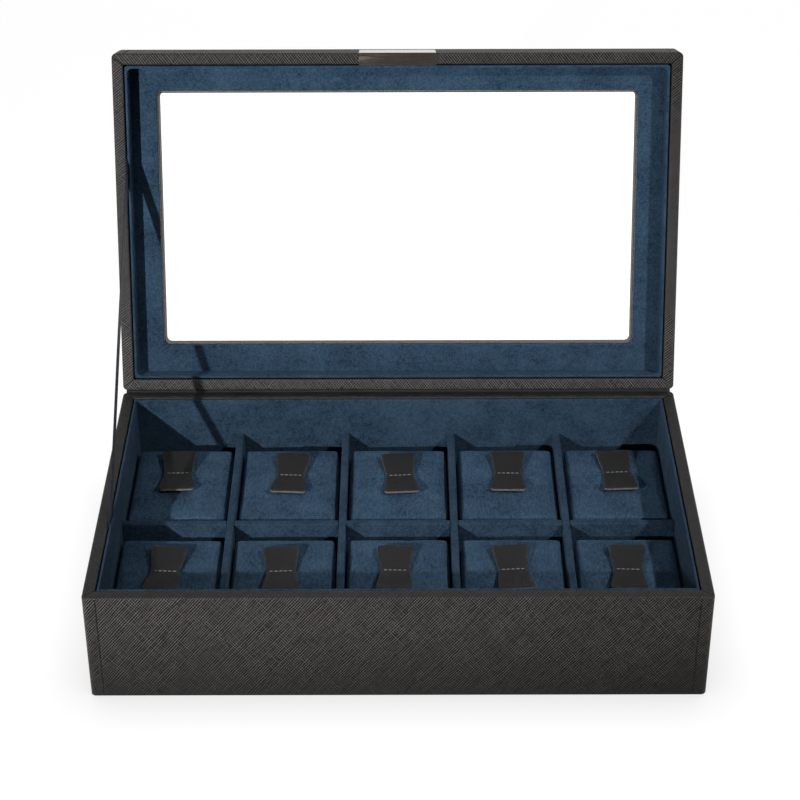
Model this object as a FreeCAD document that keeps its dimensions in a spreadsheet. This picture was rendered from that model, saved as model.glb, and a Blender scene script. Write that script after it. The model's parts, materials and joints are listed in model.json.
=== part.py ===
import FreeCAD, Part
import Sketcher
import math
import os

os.makedirs("parts", exist_ok=True)
doc = FreeCAD.newDocument("WatchBox")
Vector = FreeCAD.Vector
Rotation = FreeCAD.Rotation

# Driving dimensions in millimetres and degrees
SIZES = {
    # outside
    "wide": 330.0,
    "deep": 200.0,
    "baseHigh": 66.5,
    "lidHigh": 28.0,
    "lidOpen": 108.5,
    "hingeRise": 1.5,
    "closedGap": 0.4,
    # covering and boards
    "leatherThick": 0.8,
    "boardThick": 5.0,
    "turnIn": 12.0,
    "cornerRound": 2.5,
    "edgeRound": 1.0,
    "baseLeatherFoot": 0.4,
    "feltThick": 0.8,
    "feltInset": 2.5,
    "bottomThick": 3.0,
    "frontSeamInset": 6.6,
    # suede lining
    "liningGap": 0.7,
    "liningThick": 1.5,
    "liningDrop": 0.5,
    "trayThick": 1.7,
    "dividerThick": 4.2,
    "dividerDrop": 24.0,
    "lapClear": 0.1,
    # cushions and their tabs
    "cushionSide": 0.8,
    "cushionDeep": 72.2,
    "rearCushionFront": 3.4,
    "frontCushionFront": 7.1,
    "cushionSeat": 0.3,
    "cushionDrop": 2.6,
    "cushionCrown": 1.2,
    "cushionCorner": 2.2,
    "cushionBulge": 0.8,
    "cushionDrawIn": 2.0,
    "cushionEndRound": 2.2,
    "tabLong": 39.0,
    "tabWide": 21.0,
    "tabWaist": 16.0,
    "tabThick": 1.5,
    "tabRound": 1.5,
    "tabLift": 7.0,
    "tabSeat": 0.05,
    # lid
    "lidLiningDeep": 13.0,
    "lidLiningRound": 3.0,
    "windowFrameThick": 2.0,
    "glassThick": 3.0,
    "glassClear": 0.3,
    "windowBorder": 24.5,
    "suedeReveal": 0.6,
    "suedeForward": 0.9,
    "windowRound": 3.0,
    "lidEdgeRound": 2.0,
    # metal, thread and ribbon
    "claspWide": 44.5,
    "claspToLining": 0.2,
    "claspFrontLeg": 20.0,
    "claspProud": 0.2,
    "claspClear": 0.05,
    "magnetLong": 20.0,
    "magnetThick": 3.5,
    "magnetHigh": 3.0,
    "magnetClear": 0.1,
    "stitchLong": 2.2,
    "stitchPitch": 2.9,
    "stitchThick": 0.5,
    "stitchProud": 0.3,
    "hemStitchPitch": 4.0,
    "hemStitchLong": 2.4,
    "hemStitchInset": 1.1,
    "hemStitchTurn": 50.0,
    "hemStitchProud": 0.25,
    "ribbonWide": 9.0,
    "ribbonThick": 0.4,
    "ribbonTuck": 8.0,
    "ribbonBaseFromBack": 127.5,
    "ribbonLidFromBack": 130.5,
    "stripThick": 0.35,
    "stripEndInset": 2.0,
    "stripOnLid": 9.0,
    "stripClear": 0.15,
}
# Each tab's waist from its cushion's middle, in mm to the right and to the back, and its turn in degrees
TAB_PLACES = {
    "rear": ((-2.5, 7.4, 2.0), (0.5, 5.1, -3.0), (1.0, 4.8, 4.0), (0.9, 6.6, -1.5), (1.5, 7.4, 3.0)),
    "front": ((-1.2, 2.7, -3.0), (-1.0, 2.4, 2.0), (-1.8, 3.1, -1.0), (-0.4, 3.8, 3.5), (-0.7, 3.5, -2.5)),
}
COLUMNS = 5

sheet = doc.addObject("Spreadsheet::Sheet", "Sizes")
for row, (word, value) in enumerate(SIZES.items(), start=1):
    sheet.set("A%d" % row, word)
    sheet.set("B%d" % row, str(value))
    sheet.setAlias("B%d" % row, word)
doc.recompute()


def size(word):
    return float(getattr(sheet, word))


# Expressions that several pieces share
RIM = "(2 * Sizes.leatherThick + Sizes.boardThick)"
BOARD_IN = "(Sizes.leatherThick + Sizes.boardThick)"
LINING_OUT = "(%s + Sizes.liningGap)" % RIM
LINING_IN = "(%s + Sizes.liningThick)" % LINING_OUT
FLOOR_UNDER = "(Sizes.feltThick + Sizes.bottomThick)"
FLOOR_TOP = "(%s + Sizes.trayThick)" % FLOOR_UNDER
LINING_TOP = "(Sizes.baseHigh - Sizes.liningDrop)"
DIVIDER_TOP = "(Sizes.baseHigh - Sizes.dividerDrop)"
CELL_WIDE = "((Sizes.wide - 2 * %s - 4 * Sizes.dividerThick) / 5)" % LINING_IN
LID_RIM = "(Sizes.baseHigh + Sizes.closedGap)"
GLASS_UNDER = "(%s + Sizes.lidLiningDeep + Sizes.windowFrameThick)" % LID_RIM
GLASS_TOP = "(%s + Sizes.glassThick)" % GLASS_UNDER
LID_TOP = "(%s + Sizes.lidHigh)" % LID_RIM


def number(expression):
    words = dict(SIZES)
    text = expression.replace("Sizes.", "")
    for word in sorted(words, key=len, reverse=True):
        text = text.replace(word, repr(size(word)))
    return FreeCAD.Units.Quantity(text).Value


# The lid parts are drawn shut and turned about the hinge line
def openLid(part):
    part.setExpression(".Placement.Rotation.Axis.x", "1")
    part.setExpression(".Placement.Rotation.Axis.y", "0")
    part.setExpression(".Placement.Rotation.Axis.z", "0")
    part.setExpression(".Placement.Rotation.Angle", "-Sizes.lidOpen * 1 deg")
    axis_y = "(Sizes.deep / 2)"
    axis_z = "(Sizes.baseHigh + Sizes.hingeRise)"
    turned_y = "(%s * cos(Sizes.lidOpen) + %s * sin(Sizes.lidOpen))" % (axis_y, axis_z)
    turned_z = "(-%s * sin(Sizes.lidOpen) + %s * cos(Sizes.lidOpen))" % (axis_y, axis_z)
    part.setExpression(".Placement.Base.y", "%s - %s" % (axis_y, turned_y))
    part.setExpression(".Placement.Base.z", "%s - %s" % (axis_z, turned_z))


def lidPlacement():
    axis = Vector(0, size("deep") / 2, size("baseHigh") + size("hingeRise"))
    return FreeCAD.Placement(Vector(), Rotation(Vector(1, 0, 0), -size("lidOpen")), axis)


PIECES = []


def piece(part, label, in_lid=False):
    part.Label = label
    if in_lid:
        openLid(part)
    PIECES.append(part)
    return part


# Sketches with every corner placed from the sheet
def originPlane(body, role):
    return next(f for f in body.Origin.OriginFeatures if f.Role == role)


def polygonSketch(body, name, role, corners):
    sketch = body.newObject("Sketcher::SketchObject", name)
    sketch.AttachmentSupport = [(originPlane(body, role), "")]
    sketch.MapMode = "FlatFace"
    points = [Vector(number(x), number(y), 0) for x, y in corners]
    count = len(points)
    for i in range(count):
        sketch.addGeometry(Part.LineSegment(points[i], points[(i + 1) % count]), False)
    for i in range(count):
        sketch.addConstraint(Sketcher.Constraint("Coincident", i, 2, (i + 1) % count, 1))
    for i, (x, y) in enumerate(corners):
        for kind, value, text in (("DistanceX", points[i].x, x), ("DistanceY", points[i].y, y)):
            index = sketch.addConstraint(Sketcher.Constraint(kind, -1, 1, i, 1, value))
            sketch.setExpression("Constraints[%d]" % index, text)
    return sketch


def rectangle(x0, x1, y0, y1):
    return [(x0, y0), (x1, y0), (x1, y1), (x0, y1)]


def padBody(name, role, corners, length, start="0", middle=False):
    body = doc.addObject("PartDesign::Body", name)
    sketch = polygonSketch(body, name + "Outline", role, corners)
    sketch.setExpression(".AttachmentOffset.Base.z", start)
    pad = body.newObject("PartDesign::Pad", name + "Pad")
    pad.Profile = sketch
    pad.setExpression("Length", length)
    pad.Midplane = middle
    return body


def boxPart(name, x, y, z):
    box = doc.addObject("Part::Box", name)
    box.setExpression("Length", "%s - (%s)" % (x[1], x[0]))
    box.setExpression("Width", "%s - (%s)" % (y[1], y[0]))
    box.setExpression("Height", "%s - (%s)" % (z[1], z[0]))
    for axis, low in (("x", x[0]), ("y", y[0]), ("z", z[0])):
        box.setExpression(".Placement.Base." + axis, low)
    return box


# Spans that run from one side of the box to the other, drawn in by the same inset
def spanX(inset):
    return ("-(Sizes.wide / 2 - %s)" % inset, "(Sizes.wide / 2 - %s)" % inset)


def spanY(inset):
    return ("-(Sizes.deep / 2 - %s)" % inset, "(Sizes.deep / 2 - %s)" % inset)


def cut(name, base, tool):
    result = doc.addObject("Part::Cut", name)
    result.Base = base
    result.Tool = tool
    return result


def fuse(name, shapes):
    result = doc.addObject("Part::MultiFuse", name)
    result.Shapes = shapes
    return result


def common(name, shapes):
    result = doc.addObject("Part::MultiCommon", name)
    result.Shapes = shapes
    return result


def rounded(name, base, edges):
    doc.recompute()
    fillet = doc.addObject("Part::Fillet", name)
    fillet.Base = base
    fillet.Edges = [(i + 1, r, r) for i, e in enumerate(base.Shape.Edges) for r in [edges(e)] if r]
    return fillet


def uprightEdge(edge):
    run = edge.Vertexes[-1].Point - edge.Vertexes[0].Point
    return abs(run.x) < 1e-6 and abs(run.y) < 1e-6


# Wooden boards of a tray or a lid, the front and back ones running the whole width
def wallBoards(prefix, low, high, in_lid):
    whole = spanX("Sizes.leatherThick")
    inside = spanY(BOARD_IN)
    outside = spanY("Sizes.leatherThick")
    side = "Sizes.wide / 2 - Sizes.leatherThick"
    plans = {
        "front": (whole, (outside[0], inside[0])),
        "back": (whole, (inside[1], outside[1])),
        "left": (("-(%s)" % side, "-(%s - Sizes.boardThick)" % side), inside),
        "right": (("(%s - Sizes.boardThick)" % side, "(%s)" % side), inside),
    }
    boards = {}
    for where, (x, y) in plans.items():
        body = padBody(prefix + where.title() + "Board", "XY_Plane", rectangle(*x, *y),
                       "%s - %s" % (high, low), low)
        boards[where] = piece(body, "%s_%s_board" % (prefix, where), in_lid)
    return boards


# Base: boards, hidden magnet, felt and bottom
boards = wallBoards("base", "Sizes.feltThick", "(Sizes.baseHigh - Sizes.leatherThick)", False)

MAGNET_Y = "(-Sizes.deep / 2 + Sizes.leatherThick + Sizes.boardThick / 2)"
MAGNET_TOP = "(Sizes.baseHigh - Sizes.leatherThick)"


def magnetCorners(clear):
    half = "(Sizes.magnetLong / 2 + %s)" % clear
    depth = "(Sizes.magnetThick / 2 + %s)" % clear
    return rectangle("-" + half, half, "%s - %s" % (MAGNET_Y, depth), "%s + %s" % (MAGNET_Y, depth))


front = boards["front"]
slot = polygonSketch(front, "magnetSlotOutline", "XY_Plane", magnetCorners("Sizes.magnetClear"))
slot.setExpression(".AttachmentOffset.Base.z", MAGNET_TOP)
doc.recompute()
solid_front = front.Shape.Volume
pocket = front.newObject("PartDesign::Pocket", "magnetSlot")
pocket.Profile = slot
pocket.setExpression("Length", "Sizes.magnetHigh + Sizes.magnetClear")
doc.recompute()
if not front.Shape.Volume < solid_front - 1:
    raise RuntimeError("the magnet slot cut nothing")

magnet = padBody("baseMagnet", "XY_Plane", magnetCorners("0"), "Sizes.magnetHigh",
                 "%s - Sizes.magnetHigh" % MAGNET_TOP)
piece(magnet, "base_magnet")

bottom = padBody("baseBottomBoard", "XY_Plane", rectangle(*spanX(BOARD_IN), *spanY(BOARD_IN)),
                 "Sizes.bottomThick", "Sizes.feltThick")
piece(bottom, "base_bottom_board")
felt = padBody("underFelt", "XY_Plane", rectangle(*spanX("Sizes.feltInset"), *spanY("Sizes.feltInset")),
               "Sizes.feltThick")
piece(felt, "underside_felt")


# A leather cover: outer skin, folded over the rim and turned in behind it
def coverShell(prefix, low, high, rim_high):
    outer = boxPart(prefix + "Outer", spanX("0"), spanY("0"), (low, high))
    core_z = ("(%s - 1)" % low, "(%s - Sizes.leatherThick)" % high)
    if not rim_high:
        core_z = ("(%s + Sizes.leatherThick)" % low, "(%s + 1)" % high)
    core = boxPart(prefix + "Core", spanX("Sizes.leatherThick"), spanY("Sizes.leatherThick"), core_z)
    hole = boxPart(prefix + "Hole", spanX(RIM), spanY(RIM), ("(%s - 1)" % low, "(%s + 1)" % high))
    turned = ("(%s - Sizes.leatherThick - Sizes.turnIn)" % high, "(%s - Sizes.leatherThick)" % high)
    if not rim_high:
        turned = ("(%s + Sizes.leatherThick)" % low, "(%s + Sizes.leatherThick + Sizes.turnIn)" % low)
    fold = boxPart(prefix + "Fold", spanX(BOARD_IN), spanY(BOARD_IN), turned)
    return outer, core, hole, fold


# Splits a cover into the panel between the front seams and the wrap round the rest
def splitCover(prefix, shell, low, high):
    seam = "Sizes.frontSeamInset"
    x, y = spanX(seam), ("-(Sizes.deep / 2 + 1)", "-(Sizes.deep / 2 - %s)" % RIM)
    z = ("(%s - 1)" % low, "(%s + 1)" % high)
    front_zone = boxPart(prefix + "FrontZone", x, y, z)
    copy_zone = boxPart(prefix + "FrontZoneAgain", x, y, z)
    front_panel = common(prefix + "FrontLeather", [shell, front_zone])
    wrap = cut(prefix + "WrapLeather", shell, copy_zone)
    return front_panel, wrap


outer, core, hole, fold = coverShell("base", "Sizes.baseLeatherFoot", "Sizes.baseHigh", True)


def baseRounding(edge):
    high = all(abs(v.Point.z - size("baseHigh")) < 1e-6 for v in edge.Vertexes)
    if uprightEdge(edge):
        return size("cornerRound")
    return size("edgeRound") if high else 0


base_outer = rounded("baseOuterRounded", outer, baseRounding)
base_skin = cut("baseSkinTop", cut("baseSkin", base_outer, core), hole)
base_fold = cut("baseFoldRing", fold, boxPart("baseFoldHole", spanX(RIM), spanY(RIM),
                                              ("0", "Sizes.baseHigh + 1")))
base_shell = fuse("baseCover", [base_skin, base_fold])
front_leather, wrap_leather = splitCover("base", base_shell, "0", "Sizes.baseHigh")
piece(front_leather, "base_front_leather")
piece(wrap_leather, "base_wrap_leather")


# Suede lining boards of the tray, its floor and its dividers
def liningBoard(where, x, y):
    body = padBody("lining" + where.title(), "XY_Plane", rectangle(*x, *y),
                   "%s - %s" % (LINING_TOP, FLOOR_UNDER), FLOOR_UNDER)
    piece(body, "lining_" + where)


LINED_X, LINED_Y = spanX(LINING_OUT), spanY(LINING_OUT)
TRAY_X, TRAY_Y = spanX(LINING_IN), spanY(LINING_IN)
liningBoard("front", LINED_X, (LINED_Y[0], TRAY_Y[0]))
liningBoard("back", LINED_X, (TRAY_Y[1], LINED_Y[1]))
liningBoard("left", (LINED_X[0], TRAY_X[0]), TRAY_Y)
liningBoard("right", (TRAY_X[1], LINED_X[1]), TRAY_Y)
tray = padBody("trayFloor", "XY_Plane", rectangle(*TRAY_X, *TRAY_Y), "Sizes.trayThick", FLOOR_UNDER)
piece(tray, "tray_floor")


def columnEdge(column):
    # x of the left face of the divider to the right of this column
    return "(%s + %d * %s + %d * Sizes.dividerThick)" % (TRAY_X[0], column, CELL_WIDE, column - 1)


HALF_LAP = "(%s + (%s - %s) / 2)" % (FLOOR_TOP, DIVIDER_TOP, FLOOR_TOP)
long_corners = [(TRAY_X[0], FLOOR_TOP), (TRAY_X[1], FLOOR_TOP), (TRAY_X[1], DIVIDER_TOP)]
for column in range(COLUMNS - 1, 0, -1):
    left = "(%s - Sizes.lapClear)" % columnEdge(column)
    right = "(%s + Sizes.dividerThick + Sizes.lapClear)" % columnEdge(column)
    low = "(%s - Sizes.lapClear)" % HALF_LAP
    long_corners += [(right, DIVIDER_TOP), (right, low), (left, low), (left, DIVIDER_TOP)]
long_corners.append((TRAY_X[0], DIVIDER_TOP))
long_divider = padBody("longDivider", "XZ_Plane", long_corners, "Sizes.dividerThick", middle=True)
piece(long_divider, "long_divider")

cross_corners = [
    (TRAY_Y[0], FLOOR_TOP),
    ("-(Sizes.dividerThick / 2 + Sizes.lapClear)", FLOOR_TOP),
    ("-(Sizes.dividerThick / 2 + Sizes.lapClear)", HALF_LAP),
    ("(Sizes.dividerThick / 2 + Sizes.lapClear)", HALF_LAP),
    ("(Sizes.dividerThick / 2 + Sizes.lapClear)", FLOOR_TOP),
    (TRAY_Y[1], FLOOR_TOP),
    (TRAY_Y[1], DIVIDER_TOP),
    (TRAY_Y[0], DIVIDER_TOP),
]
for column in range(1, COLUMNS):
    body = padBody("crossDivider%d" % column, "YZ_Plane", cross_corners, "Sizes.dividerThick",
                   columnEdge(column))
    piece(body, "cross_divider_%d" % column)


# One cushion: sections along its length, full in the middle and drawn in at the ends
cushion_wide = number(CELL_WIDE) - 2 * size("cushionSide")
cushion_deep = size("cushionDeep")
cushion_under = number(FLOOR_TOP) + size("cushionSeat")
cushion_high = number(DIVIDER_TOP) - size("cushionDrop") - cushion_under


def cushionSection(at, draw_in, fullness):
    half = cushion_wide / 2 - size("cushionBulge") - draw_in
    low, high = draw_in, cushion_high - draw_in
    corner = size("cushionCorner")
    bulge, crown = size("cushionBulge") * fullness, size("cushionCrown") * fullness
    slant = corner * (1 - math.sqrt(0.5))

    def at_point(x, z):
        return Vector(x, at, z)

    def arc(a, b, c):
        return Part.Arc(at_point(*a), at_point(*b), at_point(*c)).toShape()

    middle = (low + high) / 2
    side_high, side_low = high - corner, low + corner
    flat = half - corner
    return Part.Wire([
        Part.LineSegment(at_point(-flat, low), at_point(flat, low)).toShape(),
        arc((flat, low), (half - slant, low + slant), (half, side_low)),
        arc((half, side_low), (half + bulge, middle), (half, side_high)),
        arc((half, side_high), (half - slant, high - slant), (flat, high)),
        arc((flat, high), (0, high + crown), (-flat, high)),
        arc((-flat, high), (-half + slant, high - slant), (-half, side_high)),
        arc((-half, side_high), (-half - bulge, middle), (-half, side_low)),
        arc((-half, side_low), (-half + slant, low + slant), (-flat, low)),
    ])


def cushionShape():
    end, turn, draw = cushion_deep / 2, size("cushionEndRound"), size("cushionDrawIn")
    places = [(end - turn * (1 - math.sin(math.radians(a))), draw * (1 - math.cos(math.radians(a))))
              for a in (90, 60, 30, 0)]
    places += [(0.0, 0.0)]
    places = [(-y, d) for y, d in places[:-1]] + places[::-1]
    sections = [cushionSection(y, d, 1 - 0.8 * (y / end) ** 2) for y, d in places]
    return Part.makeLoft(sections, True, True)


# One leather tab: a bow-tie outline on a strip whose wings lift from the waist
def tabShape():
    half_long, half_wide, half_waist = size("tabLong") / 2, size("tabWide") / 2, size("tabWaist") / 2
    thick, lift = size("tabThick"), math.radians(size("tabLift"))
    rise = half_long * math.tan(lift)
    plan = [(-half_wide, -half_long), (half_wide, -half_long), (half_waist, 0.0),
            (half_wide, half_long), (-half_wide, half_long), (-half_waist, 0.0)]
    outline = Part.makePolygon([Vector(x, y, -1) for x, y in plan + plan[:1]])
    block = Part.Face(outline).extrude(Vector(0, 0, rise + thick + 2))
    ends = [e for e in block.Edges if uprightEdge(e) and abs(abs(e.Vertexes[0].X) - half_wide) < 1e-6]
    block = block.makeFillet(size("tabRound"), ends)
    side = [(-half_long, rise), (0.0, 0.0), (half_long, rise),
            (half_long, rise + thick), (0.0, thick), (-half_long, rise + thick)]
    strip_wire = Part.makePolygon([Vector(-half_wide, y, z) for y, z in side + side[:1]])
    strip = Part.Face(strip_wire).extrude(Vector(2 * half_wide, 0, 0))
    return block.common(strip)


cushion_shape = cushionShape()
tab_shape = tabShape()
tab_floor = cushion_under + cushion_high + size("cushionCrown") + size("tabSeat")
rear_front = size("dividerThick") / 2 + size("rearCushionFront")
front_front = -size("deep") / 2 + number(LINING_IN) + size("frontCushionFront")
for row, front_face in (("rear", rear_front), ("front", front_front)):
    for column in range(COLUMNS):
        x = number(TRAY_X[0]) + (column + 0.5) * number(CELL_WIDE) + column * size("dividerThick")
        y = front_face + cushion_deep / 2
        cushion = doc.addObject("Part::Feature", "%sCushion%d" % (row, column + 1))
        cushion.Shape = cushion_shape
        cushion.Placement = FreeCAD.Placement(Vector(x, y, cushion_under), Rotation())
        piece(cushion, "%s_cushion_%d" % (row, column + 1))
        tab = doc.addObject("Part::Feature", "%sTab%d" % (row, column + 1))
        tab.Shape = tab_shape
        right, back, angle = TAB_PLACES[row][column]
        turn = Rotation(Vector(0, 0, 1), angle)
        tab.Placement = FreeCAD.Placement(Vector(x + right, y + back, tab_floor), turn)
        piece(tab, "%s_tab_%d" % (row, column + 1))


# Rows of thread, each stitch a short bar that stands proud of the leather
def stitchBar(centre, along, width, proud, turn):
    bar = Part.makeBox(along, width, proud, Vector(-along / 2, -width / 2, 0))
    bar.Placement = FreeCAD.Placement(centre, turn)
    return bar


def frontStitches():
    bars = []
    low, high = size("baseLeatherFoot") + size("stitchPitch"), size("baseHigh") - size("stitchPitch")
    count = int((high - low) / size("stitchPitch")) + 1
    seam = size("wide") / 2 - size("frontSeamInset") - size("stitchThick")
    facing = Rotation(Vector(0, 0, 1), Vector(-1, 0, 0), Vector(0, -1, 0), "XYZ")
    for side in (-1, 1):
        for i in range(count):
            centre = Vector(side * seam, -size("deep") / 2, low + i * size("stitchPitch"))
            bars.append(stitchBar(centre, size("stitchLong"), size("stitchThick"),
                                  size("stitchProud"), facing))
    return Part.makeCompound(bars)


stitches = doc.addObject("Part::Feature", "frontStitches")
stitches.Shape = frontStitches()
piece(stitches, "base_front_stitches")


def hemStitches():
    bars = []
    length = size("wide") - 2 * (size("frontSeamInset") + size("hemStitchPitch"))
    count = int(length / size("hemStitchPitch")) + 1
    y = size("deep") / 2 - size("hemStitchInset")
    z = number(LID_RIM)
    face_down = Rotation(Vector(1, 0, 0), 180)
    slant = Rotation(Vector(0, 0, 1), size("hemStitchTurn"))
    for i in range(count):
        x = (i - (count - 1) / 2) * size("hemStitchPitch")
        bars.append(stitchBar(Vector(x, y, z), size("hemStitchLong"), size("stitchThick"),
                              size("hemStitchProud"), slant.multiply(face_down)))
    return Part.makeCompound(bars)


hem = doc.addObject("Part::Feature", "hemStitches")
hem.Shape = hemStitches()
hem.Placement = lidPlacement()
piece(hem, "lid_hem_stitches")


# Lid: boards, window members, glass, suede frame and side lining
lid_boards = wallBoards("lid", "(%s + Sizes.leatherThick)" % LID_RIM,
                        "(%s - Sizes.leatherThick)" % LID_TOP, True)
WINDOW_BOARD = "(Sizes.windowBorder - Sizes.leatherThick)"
WX, WY = spanX(WINDOW_BOARD), spanY(WINDOW_BOARD)
IX, IY = spanX(BOARD_IN), spanY(BOARD_IN)
MEMBERS = {
    "front": [(IX[0], IY[0]), (IX[1], IY[0]), (WX[1], WY[0]), (WX[0], WY[0])],
    "right": [(IX[1], IY[0]), (IX[1], IY[1]), (WX[1], WY[1]), (WX[1], WY[0])],
    "back": [(IX[1], IY[1]), (IX[0], IY[1]), (WX[0], WY[1]), (WX[1], WY[1])],
    "left": [(IX[0], IY[1]), (IX[0], IY[0]), (WX[0], WY[0]), (WX[0], WY[1])],
}
for where, corners in MEMBERS.items():
    body = padBody("lidMember" + where.title(), "XY_Plane", corners,
                   "%s - Sizes.leatherThick - %s" % (LID_TOP, GLASS_TOP), GLASS_TOP)
    piece(body, "lid_window_%s_member" % where, True)

GLASS_EDGE = "(%s + Sizes.glassClear)" % BOARD_IN
glass = padBody("glassPane", "XY_Plane", rectangle(*spanX(GLASS_EDGE), *spanY(GLASS_EDGE)),
                "Sizes.glassThick", GLASS_UNDER)
piece(glass, "glass_pane", True)

SUEDE_HOLE = "(Sizes.windowBorder - Sizes.suedeReveal)"
frame_body = padBody("suedeWindowFrame", "XY_Plane", rectangle(*spanX(GLASS_EDGE), *spanY(GLASS_EDGE)),
                     "Sizes.windowFrameThick", "%s - Sizes.windowFrameThick" % GLASS_UNDER)
HOLE_Y = ["(%s - Sizes.suedeForward)" % y for y in spanY(SUEDE_HOLE)]
frame_hole = polygonSketch(frame_body, "suedeHoleOutline", "XY_Plane",
                           rectangle(*spanX(SUEDE_HOLE), *HOLE_Y))
frame_hole.setExpression(".AttachmentOffset.Base.z", GLASS_UNDER)
doc.recompute()
whole_frame = frame_body.Shape.Volume
frame_cut = frame_body.newObject("PartDesign::Pocket", "suedeHole")
frame_cut.Profile = frame_hole
frame_cut.setExpression("Length", "Sizes.windowFrameThick")
doc.recompute()
if not frame_body.Shape.Volume < whole_frame - 1:
    raise RuntimeError("the suede frame has no window")
piece(frame_body, "suede_window_frame", True)

LID_LINING_Z = ("(%s + Sizes.liningDrop)" % LID_RIM, "(%s + Sizes.lidLiningDeep)" % LID_RIM)
ring_out = boxPart("lidLiningOut", spanX(LINING_OUT), spanY(LINING_OUT), LID_LINING_Z)
ring_in = boxPart("lidLiningIn", spanX(LINING_IN), spanY(LINING_IN),
                  ("(%s - 1)" % LID_RIM, "(%s + 1)" % GLASS_UNDER))
ring_in = rounded("lidLiningInRounded", ring_in, lambda e: size("lidLiningRound") if uprightEdge(e) else 0)
outer_round = size("lidLiningRound") + size("liningThick")
ring_out = rounded("lidLiningOutRounded", ring_out, lambda e: outer_round if uprightEdge(e) else 0)
piece(cut("lidSideLining", ring_out, ring_in), "lid_side_lining", True)

# Lid leather: wrap, front panel and the sheet on top with its folded window edge
outer, core, hole, fold = coverShell("lid", LID_RIM, LID_TOP, False)


def lidRounding(edge):
    high = all(abs(v.Point.z - number(LID_TOP)) < 1e-6 for v in edge.Vertexes)
    low = all(abs(v.Point.z - number(LID_RIM)) < 1e-6 for v in edge.Vertexes)
    if uprightEdge(edge):
        return size("cornerRound")
    if high:
        return size("lidEdgeRound")
    return size("edgeRound") if low else 0


lid_outer = rounded("lidOuterRounded", outer, lidRounding)
SHEET_UNDER = "(%s - Sizes.leatherThick)" % LID_TOP
top_zone = boxPart("lidTopZone", spanX("-1"), spanY("-1"), (SHEET_UNDER, "(%s + 1)" % LID_TOP))
lid_skin = cut("lidSkinOpen", cut("lidSkin", lid_outer, core), hole)
lid_sides = cut("lidSides", lid_skin, top_zone)
fold_hole = boxPart("lidFoldHole", spanX(RIM), spanY(RIM), ("Sizes.baseHigh", LID_TOP))
lid_fold = cut("lidFoldRing", fold, fold_hole)
lid_shell = fuse("lidCover", [lid_sides, lid_fold])

CLASP_Y = "(-Sizes.deep / 2)"


def claspCorners(clear):
    proud, deepest = "(Sizes.claspProud + %s)" % clear, "Sizes.leatherThick"
    y0, z0 = "(%s - %s)" % (CLASP_Y, proud), "(%s - %s)" % (LID_RIM, proud)
    y1 = "(%s + %s - Sizes.claspToLining + %s)" % (CLASP_Y, LINING_OUT, clear)
    z1 = "(%s + Sizes.claspFrontLeg + %s)" % (LID_RIM, clear)
    y_in, z_in = "(%s + %s)" % (CLASP_Y, deepest), "(%s + %s)" % (LID_RIM, deepest)
    return [(y0, z0), (y1, z0), (y1, z_in), (y_in, z_in), (y_in, z1), (y0, z1)]


clasp = padBody("claspPlate", "YZ_Plane", claspCorners("0"), "Sizes.claspWide", middle=True)
clasp_room = padBody("claspRoom", "YZ_Plane", claspCorners("Sizes.claspClear"),
                     "Sizes.claspWide + 2 * Sizes.claspClear", middle=True)
front_leather, wrap_leather = splitCover("lid", lid_shell, "Sizes.baseHigh", LID_TOP)
piece(cut("lidFrontLeatherCut", front_leather, clasp_room), "lid_front_leather", True)
piece(wrap_leather, "lid_wrap_leather", True)
piece(clasp, "clasp_plate", True)

sheet_zone = boxPart("lidSheetZone", spanX("-1"), spanY("-1"), (SHEET_UNDER, "(%s + 1)" % LID_TOP))
lid_outer_again = rounded("lidOuterRoundedAgain", boxPart("lidOuterAgain", spanX("0"), spanY("0"),
                                                         (LID_RIM, LID_TOP)), lidRounding)
sheet_flat = common("lidSheetFlat", [lid_outer_again, sheet_zone])
reveal = boxPart("lidReveal", WX, WY, (GLASS_TOP, LID_TOP))
sheet_whole = fuse("lidSheetWhole", [sheet_flat, reveal])
window = boxPart("lidWindow", spanX("Sizes.windowBorder"), spanY("Sizes.windowBorder"),
                 ("%s - 1" % GLASS_TOP, "%s + 1" % LID_TOP))
window = rounded("lidWindowRounded", window, lambda e: size("windowRound") if uprightEdge(e) else 0)
piece(cut("lidTopLeather", sheet_whole, window), "lid_top_leather", True)


# Ribbon stay: a straight band between the two rims, tucked behind the linings
def ribbonShape():
    placement = lidPlacement()
    base_end = Vector(0, size("deep") / 2 - size("ribbonBaseFromBack"), size("baseHigh"))
    lid_end = placement.multVec(Vector(0, size("deep") / 2 - size("ribbonLidFromBack"), number(LID_RIM)))
    along = (lid_end - base_end).normalize()
    across = Vector(0, along.z, -along.y).multiply(size("ribbonWide") / 2)
    start, stop = base_end - along * size("ribbonTuck"), lid_end + along * size("ribbonTuck")
    middle = -size("wide") / 2 + number(RIM) + size("liningGap") / 2
    shift = Vector(middle - size("ribbonThick") / 2, 0, 0)
    corners = [start + across, start - across, stop - across, stop + across, start + across]
    band = Part.Face(Part.makePolygon([c + shift for c in corners]))
    return band.extrude(Vector(size("ribbonThick"), 0, 0))


ribbon = doc.addObject("Part::Feature", "ribbonStay")
ribbon.Shape = ribbonShape()
piece(ribbon, "ribbon_stay")


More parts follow.
